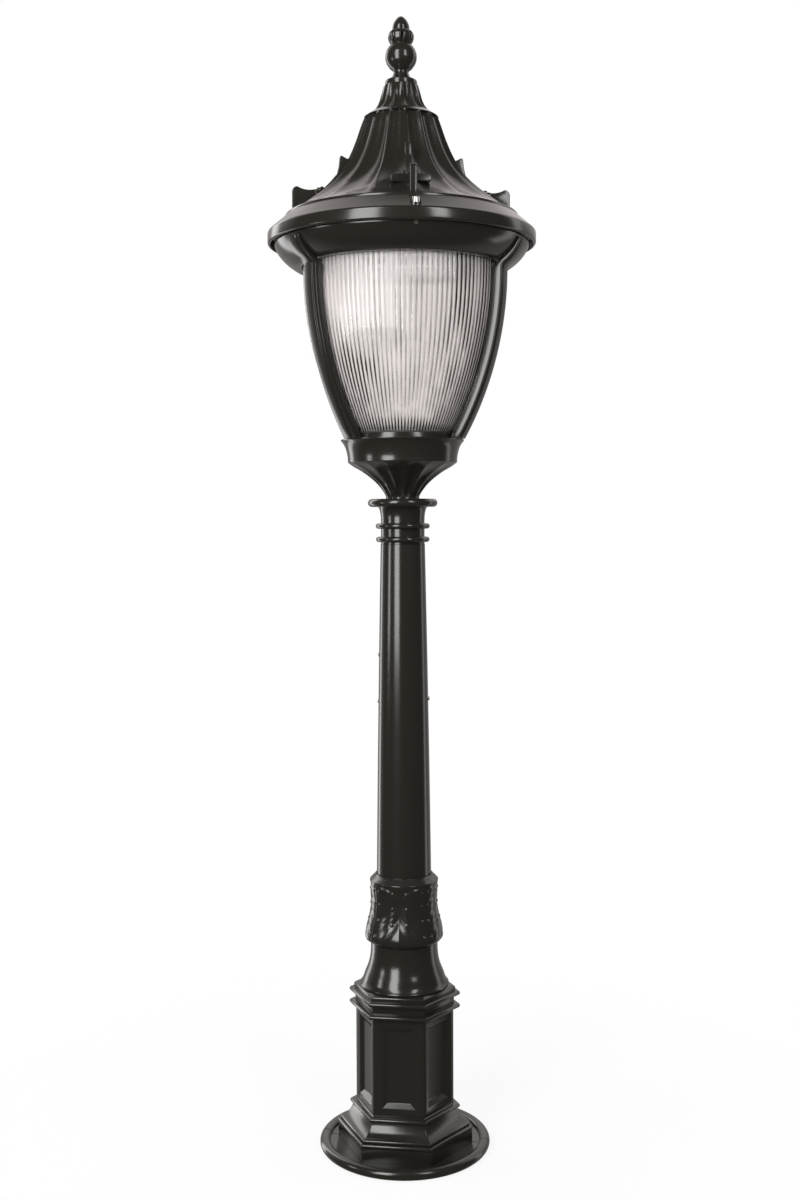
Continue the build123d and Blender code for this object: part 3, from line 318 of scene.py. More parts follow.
# %% [markdown]
# The base ring hides the joint between post and ground. It is moulded in two halves that meet at the left
# and right corners of the plinth. One full ring is spun, its inner edge is moved on to the hexagon of the
# plinth, and a plane cuts it in two, so both halves match exactly.

# %% Base ring
SIDES = 6
RING_R = reach("base_ring_front")
RING_TOP = levels("base_ring_front")[1]
RING_PLATEAU = 7.0
RING_INNER = 80.0
PLINTH_R = 86.0
FIT = 0.3


def hexagon_r(corner_r, angle):
    """Distance from the axis to a hexagon with corners on X, at an angle about Z."""
    flat = corner_r * cos(pi / SIDES)
    return flat / cos(angle % (pi / 3) - pi / 6)


def base_ring(side):
    rim = RING_R - 6.75
    inner = RING_R - 13.5
    low, bend = RING_TOP / 2, sqrt(0.5)
    outline = arc((RING_R - 6, 0), (RING_R - 6 * (1 - bend), low * (1 - bend)), (RING_R, low), 6)
    outline += arc((RING_R, low), (rim + (RING_R - rim) * bend, low + low * bend), (rim, RING_TOP), 8)[1:]
    crown = RING_TOP - RING_PLATEAU
    outline += arc((rim, RING_TOP), (rim - (rim - inner) * bend, RING_PLATEAU + crown * bend),
                   (inner, RING_PLATEAU), 7)[1:]
    outline += [(inner - 1.5, RING_PLATEAU - 0.3), (RING_INNER, RING_PLATEAU - 0.3), (RING_INNER, 3.5),
                (inner + 1, 3.5), (inner + 3.5, 0)]
    bm = lathe(outline, 180)
    for v in bm.verts:
        radius, angle = polar(v)
        if radius < (RING_INNER + 1) * MM:
            set_radius(v, hexagon_r(PLINTH_R + FIT / cos(pi / SIDES), angle) * MM)
    bmesh.ops.bisect_plane(bm, geom=bm.verts[:] + bm.edges[:] + bm.faces[:], dist=1e-6,
                           plane_co=(0, side * FIT * MM, 0), plane_no=(0, -side, 0), clear_outer=True)
    ends = bmesh.ops.holes_fill(bm, edges=[e for e in bm.edges if e.is_boundary])["faces"]
    bmesh.ops.recalc_face_normals(bm, faces=bm.faces)
    return round_edges(bm, 0.5, list({e for f in ends for e in f.edges}), 1)


piece("base_ring_front_half", base_ring(-1), BLACK, "base_front", ["base_ring_front"])
piece("base_ring_rear_half", base_ring(1), BLACK, "base_rear", ["base_ring_rear"])

# %% [markdown]
# The pedestal is a hexagonal box with mouldings at its foot and head. A spin with six steps makes a
# hexagon out of the same kind of half outline, read at the corners. The corners get a narrow rounding, and
# each face is inset three times: for the flat frame, for a shallow step and for the steep bevel of the panel.

# %% Pedestal
PEDESTAL_TOP = levels("pedestal")[1]
BEADS_TOP = 33.5
COVE_TOP = BEADS_TOP + 17.0
BODY_R = 62.3
BODY_FOOT = COVE_TOP + 5.0
BODY_TOP = BODY_FOOT + 123.5
RIM_STEP = 16.0
RIM_R, RIM_H = 70.7, 5.5
PANEL_STEPS = ((4.6, 0.0), (5.4, 1.3), (6.2, 3.7))


def rim_nose(foot, corner_r, height):
    """Rounded nose of a moulding, as seen at a corner."""
    nose = height / 2
    back = corner_r - nose
    return arc((back, foot), (corner_r, foot + nose), (back, foot + height), 7)


def pedestal():
    cove = arc((80.5, BEADS_TOP), (70.6, COVE_TOP - 9.4), (66.5, COVE_TOP), 8)
    head = BODY_TOP + RIM_STEP
    outline = [(PLINTH_R, 0), (PLINTH_R, 23.4), *rim_nose(24.0, 87.0, 5.0), *rim_nose(29.0, 83.5, 4.5), *cove,
               *rim_nose(COVE_TOP, 70.6, 5.0), (BODY_R + 1.2, BODY_FOOT), (BODY_R, BODY_FOOT + 0.9),
               (BODY_R, BODY_TOP - 0.9), (BODY_R + 1.2, BODY_TOP), *rim_nose(BODY_TOP, RIM_R, RIM_H),
               (BODY_R + 0.8, BODY_TOP + RIM_H), (BODY_R + 0.8, head), *rim_nose(head, RIM_R, RIM_H),
               (64.8, head + RIM_H + 0.3),
               *lifted(PEDESTAL_TOP, [(64.8, -3.0), (64.2, -2.0), (61.0, -0.2), (59.0, 0.0), (42.0, 0.0)]),
               (42.0, COVE_TOP + 2), (69.8, 22.0), (69.8, 0)]
    bm = lathe(outline, SIDES)
    corners = [e for e in bm.edges if e.calc_face_angle(0) > radians(30)
               and abs(polar(e.verts[0])[1] - polar(e.verts[1])[1]) < 1e-4
               and polar(e.verts[0])[0] > 0.0595]
    round_edges(bm, 0.9, corners, 2)
    middle = (BODY_FOOT + BODY_TOP) / 2 * MM
    panels = [f for f in bm.faces if abs(f.calc_center_median().z - middle) < 0.002 and f.calc_area() > 0.004
              and polar(max(f.verts, key=lambda v: polar(v)[0]))[0] > 0.05]
    lines = set()
    for width, depth in PANEL_STEPS:
        bmesh.ops.inset_individual(bm, faces=panels, thickness=width * MM, depth=-depth * MM,
                                   use_even_offset=True)
        lines |= {e for f in panels for e in f.edges}
    print("panels", len(panels))
    return round_edges(bm, 0.7, list(lines), 2)


piece("pedestal", pedestal(), BLACK, "post", ["pedestal"], crease=radians(24))

# %% [markdown]
# The bell is a plain turned transition between hexagon and column. The photograph shows long clean
# reflections on it, so its outline is one soft curve with a small rounded lip at the foot.

# %% Bell
BELL_FOOT, BELL_TOP = levels("bell")
BELL_R = reach("bell")
BELL_NECK_R = 42.0


def bell():
    rise = BELL_TOP - BELL_FOOT
    side = soft(lifted(BELL_FOOT, [(BELL_R - 0.3, 2.2), (BELL_R - 3.6, 6.8), (49.3, 15.5), (45.8, 24.0),
                                   (43.4, 33.0), (42.3, 42.0), (BELL_NECK_R, 0.84 * rise)]), 5)
    foot = arc((BELL_R - 1.2, BELL_FOOT), (BELL_R, BELL_FOOT + 1.1), (BELL_R - 0.3, BELL_FOOT + 2.2), 5)
    head = lifted(BELL_TOP, [(BELL_NECK_R, -0.6), (BELL_NECK_R - 0.6, 0), (22.0, 0), (22.0, -4), (38.0, -8)])
    return lathe([*foot, *side[1:], *head, (38.0, BELL_FOOT)])


piece("bell", bell(), BLACK, "post", ["bell"])

# %% [markdown]
# The leaf collar is the one richly modelled piece of the post: four upright acanthus leaves with midrib,
# lobes and drilled-looking eyes. Sculpting would do it by hand; here a fine lathe grid is pushed in and out
# by a rule that knows the leaf's outline, so all four leaves come out alike, as from one mould.

# %% Leaf collar
COLLAR_FOOT, COLLAR_TOP = levels("leaf_collar")
COLLAR_H = COLLAR_TOP - COLLAR_FOOT
LEAVES = 4
LEAF_HALF = 34.0
EYES = (0.165, 0.387, 0.606, 0.8)
EYE_R, EYE_H = 1.8, 1.2
COLLAR_EDGE = [(42.5, 0.0), (45.6, 0.02), (48.0, 0.06), (48.7, 0.12), (45.9, 0.255), (43.0, 0.37),
               (41.2, 0.48), (40.4, 0.62), (41.2, 0.77), (42.4, 0.87), (42.9, 0.905)]
COLLAR_SLOPE = [(42.7, 0.915), (39.4, 0.955), (37.2, 0.98), (35.8, 1.0)]


def ease(x, low, high):
    """0 below low, 1 above high, smooth between."""
    t = min(1.0, max(0.0, (x - low) / (high - low)))
    return t * t * (3 - 2 * t)


def leaf_width(s):
    """Half width of a leaf at a share of the height, where 1 touches the next leaf."""
    if s < 0.38:
        return 0.74 + 0.25 * ease(s, 0.03, 0.38)
    return 0.99 - 0.62 * ease(s, 0.74, 0.95) - 0.4 * ease(s, 0.9, 0.99)


def lobe_share(rise):
    """0 in the groove below a lobe of the leaf, 1 in the groove above it."""
    steps = (-0.06, *EYES, 1.02)
    for low, high in zip(steps, steps[1:]):
        if low <= rise < high:
            return (rise - low) / (high - low)
    return 0.0


def leaf_relief(across, s):
    """Height of the relief in millimetres. across runs from 0 at a midrib to 1 between two leaves."""
    share = lobe_share(s - 0.3 * across + 0.04)
    pillow = sin(pi * share)**0.7
    inside = leaf_width(s) - 0.07 * (1 - pillow) - across
    if inside > 0:
        veins = 0.05 * cos(6 * pi * share) * pillow
        lobe = (0.3 * pillow + veins) * ease(across, 0.03, 0.2)
        midrib = 0.3 * exp(-(across / 0.06)**2)
        body = (1.4 + lobe + midrib) * ease(inside, -0.02, 0.34)
    else:
        away, half = 1 - across, 0.18 * (1 - s / 0.37)
        span = hypot(away * LEAF_HALF, (s - 1.02) * COLLAR_H)
        body = 3.0 * max(0.0, half - away) + 0.12 * cos(2 * pi * span / 7.0) * ease(s, 0.7, 0.78)
    for level in EYES:
        for place in (0.13, 0.74):
            eye = hypot((across - place) * LEAF_HALF, (s - level - 0.3 * (place - 0.13)) * COLLAR_H)
            if eye < EYE_R and inside > 0.02:
                body += EYE_H * sqrt(1 - (eye / EYE_R)**2)
    return body * ease(s, 0.0, 0.06) * (1 - ease(s, 0.84, 0.885))


def leaf_collar():
    edge = []
    for line in (COLLAR_EDGE, COLLAR_SLOPE):
        edge += soft([(r, s * COLLAR_H) for r, s in line], 12)
    outline = lifted(COLLAR_FOOT, edge) + [(34.8, COLLAR_TOP), (35.3, COLLAR_FOOT)]
    bm = lathe(outline, 576)
    half = pi / LEAVES
    for v in bm.verts:
        radius, angle = polar(v)
        if radius > 36.5 * MM:
            across = abs((angle + pi / 2) % (2 * half) - half) / half
            share = (v.co.z / MM - COLLAR_FOOT) / COLLAR_H
            set_radius(v, radius + leaf_relief(across, share) * MM)
    return bm


piece("leaf_collar", leaf_collar(), BLACK, "post", ["leaf_collar"])

# %% [markdown]
# The column swells slightly on its way up, as good columns do, and the capital above it is a stack of
# turned rings that ends in a round flange. Both are simple spins. The screws in the column keep their CAD
# shape, since only their heads show.

# %% Column and capital
SHAFT_FOOT, SHAFT_TOP = levels("shaft")
SHAFT_H = SHAFT_TOP - SHAFT_FOOT
SHAFT_R = (35.0, 27.4)
SHAFT_WALL = 3.2
CAPITAL_TOP = levels("capital")[1]


def shaft_r(share):
    return SHAFT_R[0] + share * (SHAFT_R[1] - SHAFT_R[0]) + 2.8 * share * (1 - share)


def shaft():
    outer = [(shaft_r(i / 32), SHAFT_FOOT + SHAFT_H * i / 32) for i in range(33)]
    outer[-1:] = [(SHAFT_R[1], SHAFT_TOP - 0.4), (SHAFT_R[1] - 0.4, SHAFT_TOP)]
    inner = [(SHAFT_R[1] - SHAFT_WALL, SHAFT_TOP), (SHAFT_R[0] - SHAFT_WALL, SHAFT_FOOT)]
    return lathe(outer + inner, 160)


def capital():
    z0, neck = SHAFT_TOP, 27.0
    outline = lifted(z0, [(21.3, -24), (23.5, -24), (23.9, -23), (23.9, 0), (neck, 0.1), (neck, 1.6)])
    for rise, outer in ((5.5, 33.2), (22.0, 33.5)):
        low, high = z0 + rise - 3.4, z0 + rise + 3.4
        outline += [(neck, low - 0.3), (neck + 0.3, low), (outer - 3.4, low),
                    *arc((outer - 3.4, low), (outer, z0 + rise), (outer - 3.4, high), 10)[1:],
                    (neck + 0.3, high), (neck, high + 0.3)]
    outline += soft(lifted(z0, [(neck, 28.9), (27.3, 35.0), (28.6, 42.0), (31.0, 46.6), (33.4, 48.6)]), 4)
    outline += arc((33.7, CAPITAL_TOP - 7.4), (38.0, CAPITAL_TOP - 10.0), (43.0, CAPITAL_TOP - 5.0), 10)
    outline += arc((43.0, CAPITAL_TOP - 5.0), (41.54, CAPITAL_TOP - 1.46), (38.0, CAPITAL_TOP), 6)[1:]
    outline += [(18.6, CAPITAL_TOP), (18.6, CAPITAL_TOP - 40), (21.3, CAPITAL_TOP - 40)]
    return lathe(outline)


piece("column", shaft(), BLACK, "post", ["shaft"])
piece("capital", capital(), BLACK, "post", ["capital"])

# %% [markdown]
# Stem and cup carry the lantern. The stem is fluted: sixteen hollows run from the neck to the cup and die
# out at both ends. One rule does all flutes of this lamp. It takes the ridge radius of a row and draws the
# points between two ridges inwards along a parabola, with a small rounding on the ridge itself.

# %% Stem and cup
TURN = 14.0
FLUTES = 16
STEM_FOOT, CUP_FOOT = CAPITAL_TOP, levels("cup")[0]
CUP_TOP = levels("cup")[1]
STEM_RIDGE = ((0.0, 20.7, 0.0), (0.09, 21.3, 0.03), (0.25, 25.8, 0.08), (0.42, 32.1, 0.1),
              (0.58, 40.1, 0.1), (0.75, 50.4, 0.08), (0.9, 61.8, 0.04), (1.0, 67.3, 0.0))
CUP_R = reach("cup")
SPIGOT_R, SPIGOT_L = 18.4, 60
NIPPLE_HOLE_R = 5.1


def hollowed(radius, angle, depth):
    """Radius on a fluted row: ridge radius, angle about Z and depth of the hollow as a share of it."""
    off = 2 * abs((angle * FLUTES / (2 * pi)) % 1 - 0.5)
    x = off - 0.05 * max(0.0, (off - 0.9) / 0.1)**2
    return radius * (1 - depth * (1 - x * x))


def flute(bm, depth_at):
    """Draw in every vertex that the rule gives a depth for, from its height and radius."""
    for v in bm.verts:
        radius, angle = polar(v)
        depth = depth_at(v.co.z / MM, radius / MM)
        if depth:
            set_radius(v, hollowed(radius, angle, depth))
    return bm


def between(rows, z):
    """Depth of the flutes at a height, read from (height, depth) rows."""
    for (z0, a), (z1, b) in zip(rows, rows[1:]):
        if z0 <= z <= z1:
            return a + (b - a) * (z - z0) / (z1 - z0)
    return 0.0


def stem():
    rise = CUP_FOOT - STEM_FOOT
    outer = soft([(r, STEM_FOOT + share * rise) for share, r, hollow in STEM_RIDGE], 5)
    rows = [(STEM_FOOT + share * rise, hollow) for share, r, hollow in STEM_RIDGE]
    inner = [(NIPPLE_HOLE_R, CUP_FOOT), (NIPPLE_HOLE_R, CUP_FOOT - 20), (12, CUP_FOOT - 20),
             (12, STEM_FOOT - SPIGOT_L)]
    bm = lathe([(SPIGOT_R, STEM_FOOT - SPIGOT_L), (SPIGOT_R, STEM_FOOT)] + outer + inner, 288)
    return turned(flute(bm, lambda z, r: between(rows, z) if r > 20.2 else 0.0), TURN)


def cup():
    foot = lifted(CUP_FOOT, [(66.9, 0.0), (67.4, 0.6), (67.6, 5.5), (68.6, 11.5), (70.4, 18.0), (73.0, 23.0)])
    head = lifted(CUP_TOP, [(CUP_R, -1.1), (CUP_R, -0.3), (CUP_R - 0.3, 0), (68.8, 0), (68.8, -9),
                            (63.0, -9)])
    return lathe([(NIPPLE_HOLE_R, CUP_FOOT), *soft([*foot, (CUP_R - 0.2, CUP_TOP - 1.6)], 4), *head,
                  (63.0, CUP_FOOT + 4), (NIPPLE_HOLE_R, CUP_FOOT + 4)])


def globe_seat():
    low, high = levels("globe_seat")
    return round_edges(lathe([(62.0, low), (68.5, low), (68.5, high), (62.0, high)]), 0.5)


piece("stem", stem(), BLACK, "lantern", ["stem"])
piece("cup", cup(), BLACK, "lantern", ["cup"])
piece("globe_seat", globe_seat(), BLACK, "lantern", ["globe_seat"])

# %% [markdown]
# The globe is clear acrylic with fine upright ribs on its outside, which break up whatever stands behind
# it. Each rib is a shallow prism. The spin has eight steps to a rib, and the outer wall is drawn in between
# the rib tops, so wall thickness stays honest for refraction. The finish paints shade along the same ribs:
# the narrow valleys between them, where light is bent away from the eye, get painted dark lines, no two
# quite alike. This painted shade is stronger near the arms and low on the globe, and fades out in a
# painted highlight left of the front.

# %% Globe
GLOBE_FOOT, GLOBE_TOP = levels("globe")
CAGE_TOP = GLOBE_TOP - 14.0
CAGE_ARC = 398.53
CAGE_X = 135.0 - CAGE_ARC
GLOBE_ARC = CAGE_ARC - 14.5
GLOBE_WALL = 3.0
RIBS = 120
RIB_DEPTH = 0.7
ARM_PHASE = 3 * radians(30 - TURN)
# Centre of the painted highlight on the globe: around it the painted valley shade fades out.
PAINTED_HIGHLIGHT_AT = (-0.052, -0.1, 1.055)


def cage_r(radius, z):
    """Distance from the axis, at a height, of the arc with this radius about the cage's centre."""
    return CAGE_X + sqrt(radius**2 - (CAGE_TOP - z)**2)


def globe():
    heights = [GLOBE_FOOT + (CAGE_TOP - GLOBE_FOOT) * i / 20 for i in range(21)]
    outer = [(cage_r(GLOBE_ARC, z), z) for z in heights] + [(CAGE_X + GLOBE_ARC, GLOBE_TOP)]
    lip = GLOBE_FOOT + 4.0
    inside = GLOBE_ARC - GLOBE_WALL
    inner = [(CAGE_X + inside, GLOBE_TOP)] + [(cage_r(inside, z), z) for z in (*reversed(heights[1:]), lip)]
    bm = lathe(outer + inner + [(63.0, lip), (63.0, GLOBE_FOOT)], RIBS * 8)
    for v in bm.verts:
        radius, angle = polar(v)
        z = v.co.z / MM
        if z > GLOBE_FOOT + 2 and radius > (cage_r(GLOBE_ARC, z) - 0.5) * MM:
            across = abs((angle * RIBS / (2 * pi)) % 1 - 0.5) * 2
            set_radius(v, radius - RIB_DEPTH * (1 - across)**2 * MM)
    return bm


def ribbed_acrylic():
    finish = Finish("clear ribbed acrylic")
    place = finish.node("TexCoord", output=3)
    x, y, z = (finish.node("SeparateXYZ", None, {0: place}, output=i) for i in range(3))
    angle = finish.node("Math", {"operation": "ARCTAN2"}, {0: y, 1: x})
    fold = finish.node("Math", {"operation": "PINGPONG"}, {0: angle * (RIBS / (2 * pi)), 1: 0.5})
    # Painted shade: the rib valleys get dark lines in the base colour, standing in for light bent away from
    # the eye.
    valley = fold.above(0.24, 0.12)
    # Painted shade: the valley lines are darker near the three arms.
    painted_shade_near_arm = finish.node("Math", {"operation": "COSINE"}, {0: angle * 3.0 + ARM_PHASE}).above(-0.75, 1.2)
    # Painted highlight: the valley lines fade out within a few centimetres of one point left of the front.
    away = finish.node("VectorMath", {"operation": "DISTANCE"}, {0: place, 1: PAINTED_HIGHLIGHT_AT}, output=1)
    bright = away.above(0.025, 0.06)
    uneven = noise(finish, 70.0, 2.0, (1, 1, 0.06)).above(0.32, 0.3)
    # Painted shade: the valley lines are darker low on the globe, below 0.904 m.
    low = 1.0 - z.above(0.904, 0.01)
    # Strength of the painted valley shade: random, raised near the arms and low down, and cut to a faint 0.03
    # in the painted highlight.
    share = uneven * 0.5 + painted_shade_near_arm * (uneven * 0.5 + 0.55) + low
    depth = valley * (bright * share + 0.03)
    # Base colour: the acrylic's pale tone, drawn towards near black by the painted valley shade.
    tone = colour_mix(finish, depth.above(0.0, 1.0), (1.0, 0.958, 0.945, 1), (0.014, 0.009, 0.008, 1))
    haze = noise(finish, 30.0, 2.0)
    return finish.set(Base_Color=tone, Roughness=0.03 + haze * 0.02, Transmission_Weight=0.72, IOR=1.49)


CLEAR = ribbed_acrylic()
piece("globe", globe(), CLEAR, "lantern", ["globe"], radians(80))

# %% [markdown]
# Three arms hold the crown ring over the cup. Each is a bar with a raised rib, following an arc, and ends in
# a strap that runs out along the crown ring. A section with eight corners is set at each station of the
# path and the loops are joined, which is a sweep with full control over the two ends.

# %% Cage arms
CROWN_FOOT = GLOBE_TOP - 7.0
BOWL = [(131.0, 0.0), (139.8, 5.9), (147.1, 12.8), (152.2, 19.6), (155.3, 26.0)]
ARM_HALF, RIB_HALF = 12.5, 6.5
DEPTHS = (CAGE_ARC - 12.0, CAGE_ARC - 2.0, CAGE_ARC)


def bowl_line(count=5):
    """Outer line of the crown ring, from its foot up to the brim."""
    return [(r, CROWN_FOOT + z) for r, z in soft(BOWL, count)]


def beside_bowl(share, lift):
    """Point beside the crown ring, a share of the way up and a distance out from it."""
    line = bowl_line()
    i = min(int(share * (len(line) - 1)), len(line) - 2)
    (r0, z0), (r1, z1) = line[i], line[i + 1]
    part, length = share * (len(line) - 1) - i, hypot(r1 - r0, z1 - z0)
    dr, dz = r1 - r0, z1 - z0
    return r0 + part * dr + lift * dz / length, z0 + part * dz - lift * dr / length


def arm_stations():
    """Points of the inner face, the bar and the rib, from the foot to the end of the strap."""
    bend = CAGE_TOP - 1.5
    stations = []
    for i in range(19):
        z = CUP_TOP + (bend - CUP_TOP) * i / 18
        inner, bar, rib = (cage_r(depth, z) for depth in DEPTHS)
        stations.append([(max(inner, 68.9) if z < GLOBE_FOOT else inner, z), (bar, z), (rib, z)])
    stations.append([(CAGE_X + DEPTHS[0], CAGE_TOP), (133.4, CAGE_TOP + 0.8), (135.4, CAGE_TOP + 0.4)])
    for share in (0.08, 0.2, 0.35, 0.5, 0.65, 0.8, 0.93):
        stations.append([beside_bowl(share, 0.1 + lift * (1 - 0.6 * share)) for lift in (0.0, 5.0, 7.0)])
    return stations


def sweep(bm, loops):
    """Join loops with as many corners each to a closed skin with two ends."""
    count = len(loops[0])
    for low, high in zip(loops, loops[1:]):
        for i in range(count):
            k = (i + 1) % count
            bm.faces.new((low[i], low[k], high[k], high[i]))
    bm.faces.new(loops[0])
    bm.faces.new(loops[-1])
    bmesh.ops.recalc_face_normals(bm, faces=bm.faces)


def arm(side):
    bm = bmesh.new()
    loops = []
    for inner, bar, rib in arm_stations():
        section = [(inner, -ARM_HALF), (inner, ARM_HALF), (bar, ARM_HALF), (bar, RIB_HALF),
                   (rib, RIB_HALF - 0.6), (rib, 0.6 - RIB_HALF), (bar, -RIB_HALF), (bar, -ARM_HALF)]
        loops.append([bm.verts.new((r * MM, w * MM, z * MM)) for (r, z), w in section])
    sweep(bm, loops)
    long = [e for e in bm.edges if len(e.link_faces) == 2 and e.calc_face_angle(0) > radians(50)]
    return turned(round_edges(bm, 0.9, long, 3), side - 90 + TURN)


for name, side in (("right", 60), ("rear", 180), ("left", 300)):
    piece(f"cage_arm_{name}", arm(side), BLACK, "lantern", [f"arm_{name}"], crease=radians(30))

# %% [markdown]
# The crown ring closes the globe's mouth and carries the hinge ears at the back and the screw lug in front.
# Ears, lug and the roof's knuckle are all plates with a round hole. One helper draws such a plate: its
# outline and the hole are sampled at the same angles, so the two loops join in one row of quads.

# %% Crown ring
CROWN_TOP = CROWN_FOOT + 28.5
BRIM_FOOT = CROWN_TOP - 1.1
HINGE_R, HINGE_Z = 174.0, BRIM_FOOT - 6.9
HINGE_EYE, EAR_AT = 5.5, 22.9
SCREW_R = 153.5
LINING_R = 146.5


def eyelet(bm, outline, centre, hole, low, high, place):
    """Plate between low and high with an outline and a round hole, both given in its own plane."""
    cx, cy = centre
    rings = []
    for level in (low, high):
        outer = [bm.verts.new(place(x, y, level)) for x, y in outline]
        turns = [atan2(y - cy, x - cx) for x, y in outline]
        inner = [bm.verts.new(place(cx + hole * cos(a), cy + hole * sin(a), level)) for a in turns]
        rings.append((outer, inner))
    (a, b), (c, d) = rings
    count = len(outline)
    for i in range(count):
        k = (i + 1) % count
        for quad in ((a[i], a[k], b[k], b[i]), (c[i], d[i], d[k], c[k]),
                     (a[i], c[i], c[k], a[k]), (b[i], b[k], d[k], d[i])):
            bm.faces.new(quad)
    return bm


def dense(outline, gap=2.0):
    """The same closed outline with points no further apart than gap."""
    path = []
    for (x0, y0), (x1, y1) in zip(outline, outline[1:] + outline[:1]):
        count = max(1, round(hypot(x1 - x0, y1 - y0) / gap))
        path += [(x0 + (x1 - x0) * i / count, y0 + (y1 - y0) * i / count) for i in range(count)]
    return path


def rearward(sideways):
    """Place of a plate that stands across the hinge, for its own x outwards and y up."""
    return lambda x, y, level: (-(level + sideways) * MM, x * MM, y * MM)


def crown_ring():
    deck, lip = CROWN_TOP - 4.0, CROWN_FOOT + 4.0
    bm = lathe([(123.0, CROWN_FOOT), *bowl_line(), (156.0, CROWN_TOP), (134.0, CROWN_TOP), (134.0, deck),
                (145.6, deck), (128.9, lip), (123.0, lip)], 192)
    round_edges(bm, 0.6)
    for face in bm.faces:
        middle = face.calc_center_median()
        inwards = face.normal.xy.dot(middle.xy) < -0.3 * middle.xy.length
        face.material_index = int(inwards and middle.xy.length < LINING_R * MM)
    eye = HINGE_EYE
    round_end = arc((HINGE_R, HINGE_Z - eye), (HINGE_R + eye, HINGE_Z), (HINGE_R, HINGE_Z + eye), 12)
    ear = dense([*round_end, (147.0, HINGE_Z + eye), (139.0, HINGE_Z - eye)])
    for sideways in (-EAR_AT, EAR_AT):
        eyelet(bm, ear, (HINGE_R, HINGE_Z), 3.0, -3.5, 3.5, rearward(sideways))
    lug = dense([(146.3, -8.0), (159.2, -8.0), (159.2, 8.0), (146.3, 8.0)], 1.0)
    eyelet(bm, lug, (SCREW_R, 0), 4.2, BRIM_FOOT, BRIM_FOOT + 7.0,
           lambda x, y, level: (y * MM, -x * MM, level * MM))
    bmesh.ops.recalc_face_normals(bm, faces=bm.faces)
    return turned(bm, TURN)


piece("crown_ring", crown_ring(), BLACK, "lantern", ["crown_ring"], lining=SHEET)

# %% [markdown]
# The roof is one thin moulding: brim, fluted tier, ledge and a small fluted top. The ridge line is spun, the
# rows above the brim are fluted with the same rule as the stem, and the inside follows the hollows. The
# screw's pocket is a Boolean, because a round hole on a sloping round brim has no simple rows of its own.
# Three bosses hang down inside for the reflector; they are plain rods that end in the roof's wall.

# %% Roof
TIER_FOOT = BRIM_FOOT + 34.6
TIER_H = 119.0
TIER_TOP = TIER_FOOT + TIER_H
UPPER_FOOT = TIER_TOP + 6.0
ROOF_TOP = levels("finial")[0]
BRIM_R = 163.5
TIER_RIDGE = ((0.0, 140.7, 0.01), (0.03, 134.6, 0.028), (0.095, 122.0, 0.06), (0.205, 104.2, 0.09),
              (0.305, 90.0, 0.1), (0.405, 78.8, 0.105), (0.515, 70.0, 0.105), (0.63, 62.8, 0.105),
              (0.765, 56.0, 0.1), (0.907, 50.0, 0.1), (1.0, 45.5, 0.1))
UPPER_RIDGE = ((0.0, 36.0, 0.1), (0.1, 33.1, 0.1), (0.25, 29.5, 0.1), (0.45, 26.6, 0.09),
               (0.7, 24.3, 0.07), (1.0, 21.5, 0.04))
SCREW_SEAT = BRIM_FOOT + 17.0
POCKET_R, SHANK_HOLE_R = 6.0, 2.8
BOSS_R = 104.0


def ridge_rows(rule, foot, height):
    return [(foot + share * height, hollow) for share, r, hollow in rule]


TIER_ROWS = ridge_rows(TIER_RIDGE, TIER_FOOT, TIER_H)
UPPER_ROWS = ridge_rows(UPPER_RIDGE, UPPER_FOOT, ROOF_TOP - UPPER_FOOT)


def tier_ridge(count=5):
    return soft([(r, TIER_FOOT + share * TIER_H) for share, r, hollow in TIER_RIDGE], count)


def roof_outline():
    fascia, seal_rib = BRIM_FOOT + 13.6, BRIM_FOOT + 3.4
    brim = [*arc((BRIM_R - 2.5, BRIM_FOOT), (BRIM_R - 0.73, BRIM_FOOT + 0.73), (BRIM_R, BRIM_FOOT + 2.5), 4),
            *arc((BRIM_R, fascia - 1.6), (BRIM_R - 0.5, fascia + 0.1), (BRIM_R - 1.9, fascia + 1.6), 4),
            *lifted(TIER_FOOT, [(143.2, -4.0), (142.2, -3.0), (142.0, -1.0), (141.6, -0.3)])]
    ledge = [(43.6, TIER_TOP + 1.2), (39.5, UPPER_FOOT - 2.0), (37.0, UPPER_FOOT - 0.3)]
    rise = ROOF_TOP - UPPER_FOOT
    upper = soft([(r, UPPER_FOOT + share * rise) for share, r, hollow in UPPER_RIDGE], 4)
    top = lifted(ROOF_TOP, [(20.6, 0), (3.2, 0), (3.2, -8), (14.5, -8)]) + [(14.5, TIER_TOP - 3.2)]
    tier = tier_ridge()
    inside = [(r * (1 - between(TIER_ROWS, z)) - 3.2, z - 3.2) for r, z in reversed(tier[8::5])]
    skirt = [(138.8, TIER_FOOT - 6.2), (141.0, TIER_FOOT - 8.5), (141.0, seal_rib), (144.0, seal_rib),
             (144.0, TIER_FOOT - 10.7), (160.3, fascia - 1.5), (160.3, BRIM_FOOT)]
    return brim + tier + ledge + upper + top + inside + skirt


def flute_depth(z, radius):
    """Depth of the flutes on the roof's outside, 0 on the brim, the ledge and everywhere inside."""
    if TIER_FOOT <= z <= TIER_TOP and radius > edge_at(TIER_LINE, z) - 1.0:
        return between(TIER_ROWS, z)
    if UPPER_FOOT <= z <= ROOF_TOP and radius > 20.0:
        return between(UPPER_ROWS, z)
    return 0.0


def edge_at(line, z):
    """Radius of an outline at a height."""
    for (r0, z0), (r1, z1) in zip(line, line[1:]):
        if z0 <= z <= z1:
            return r0 + (r1 - r0) * (z - z0) / max(z1 - z0, 1e-6)
    return 1e9


TIER_LINE = tier_ridge()


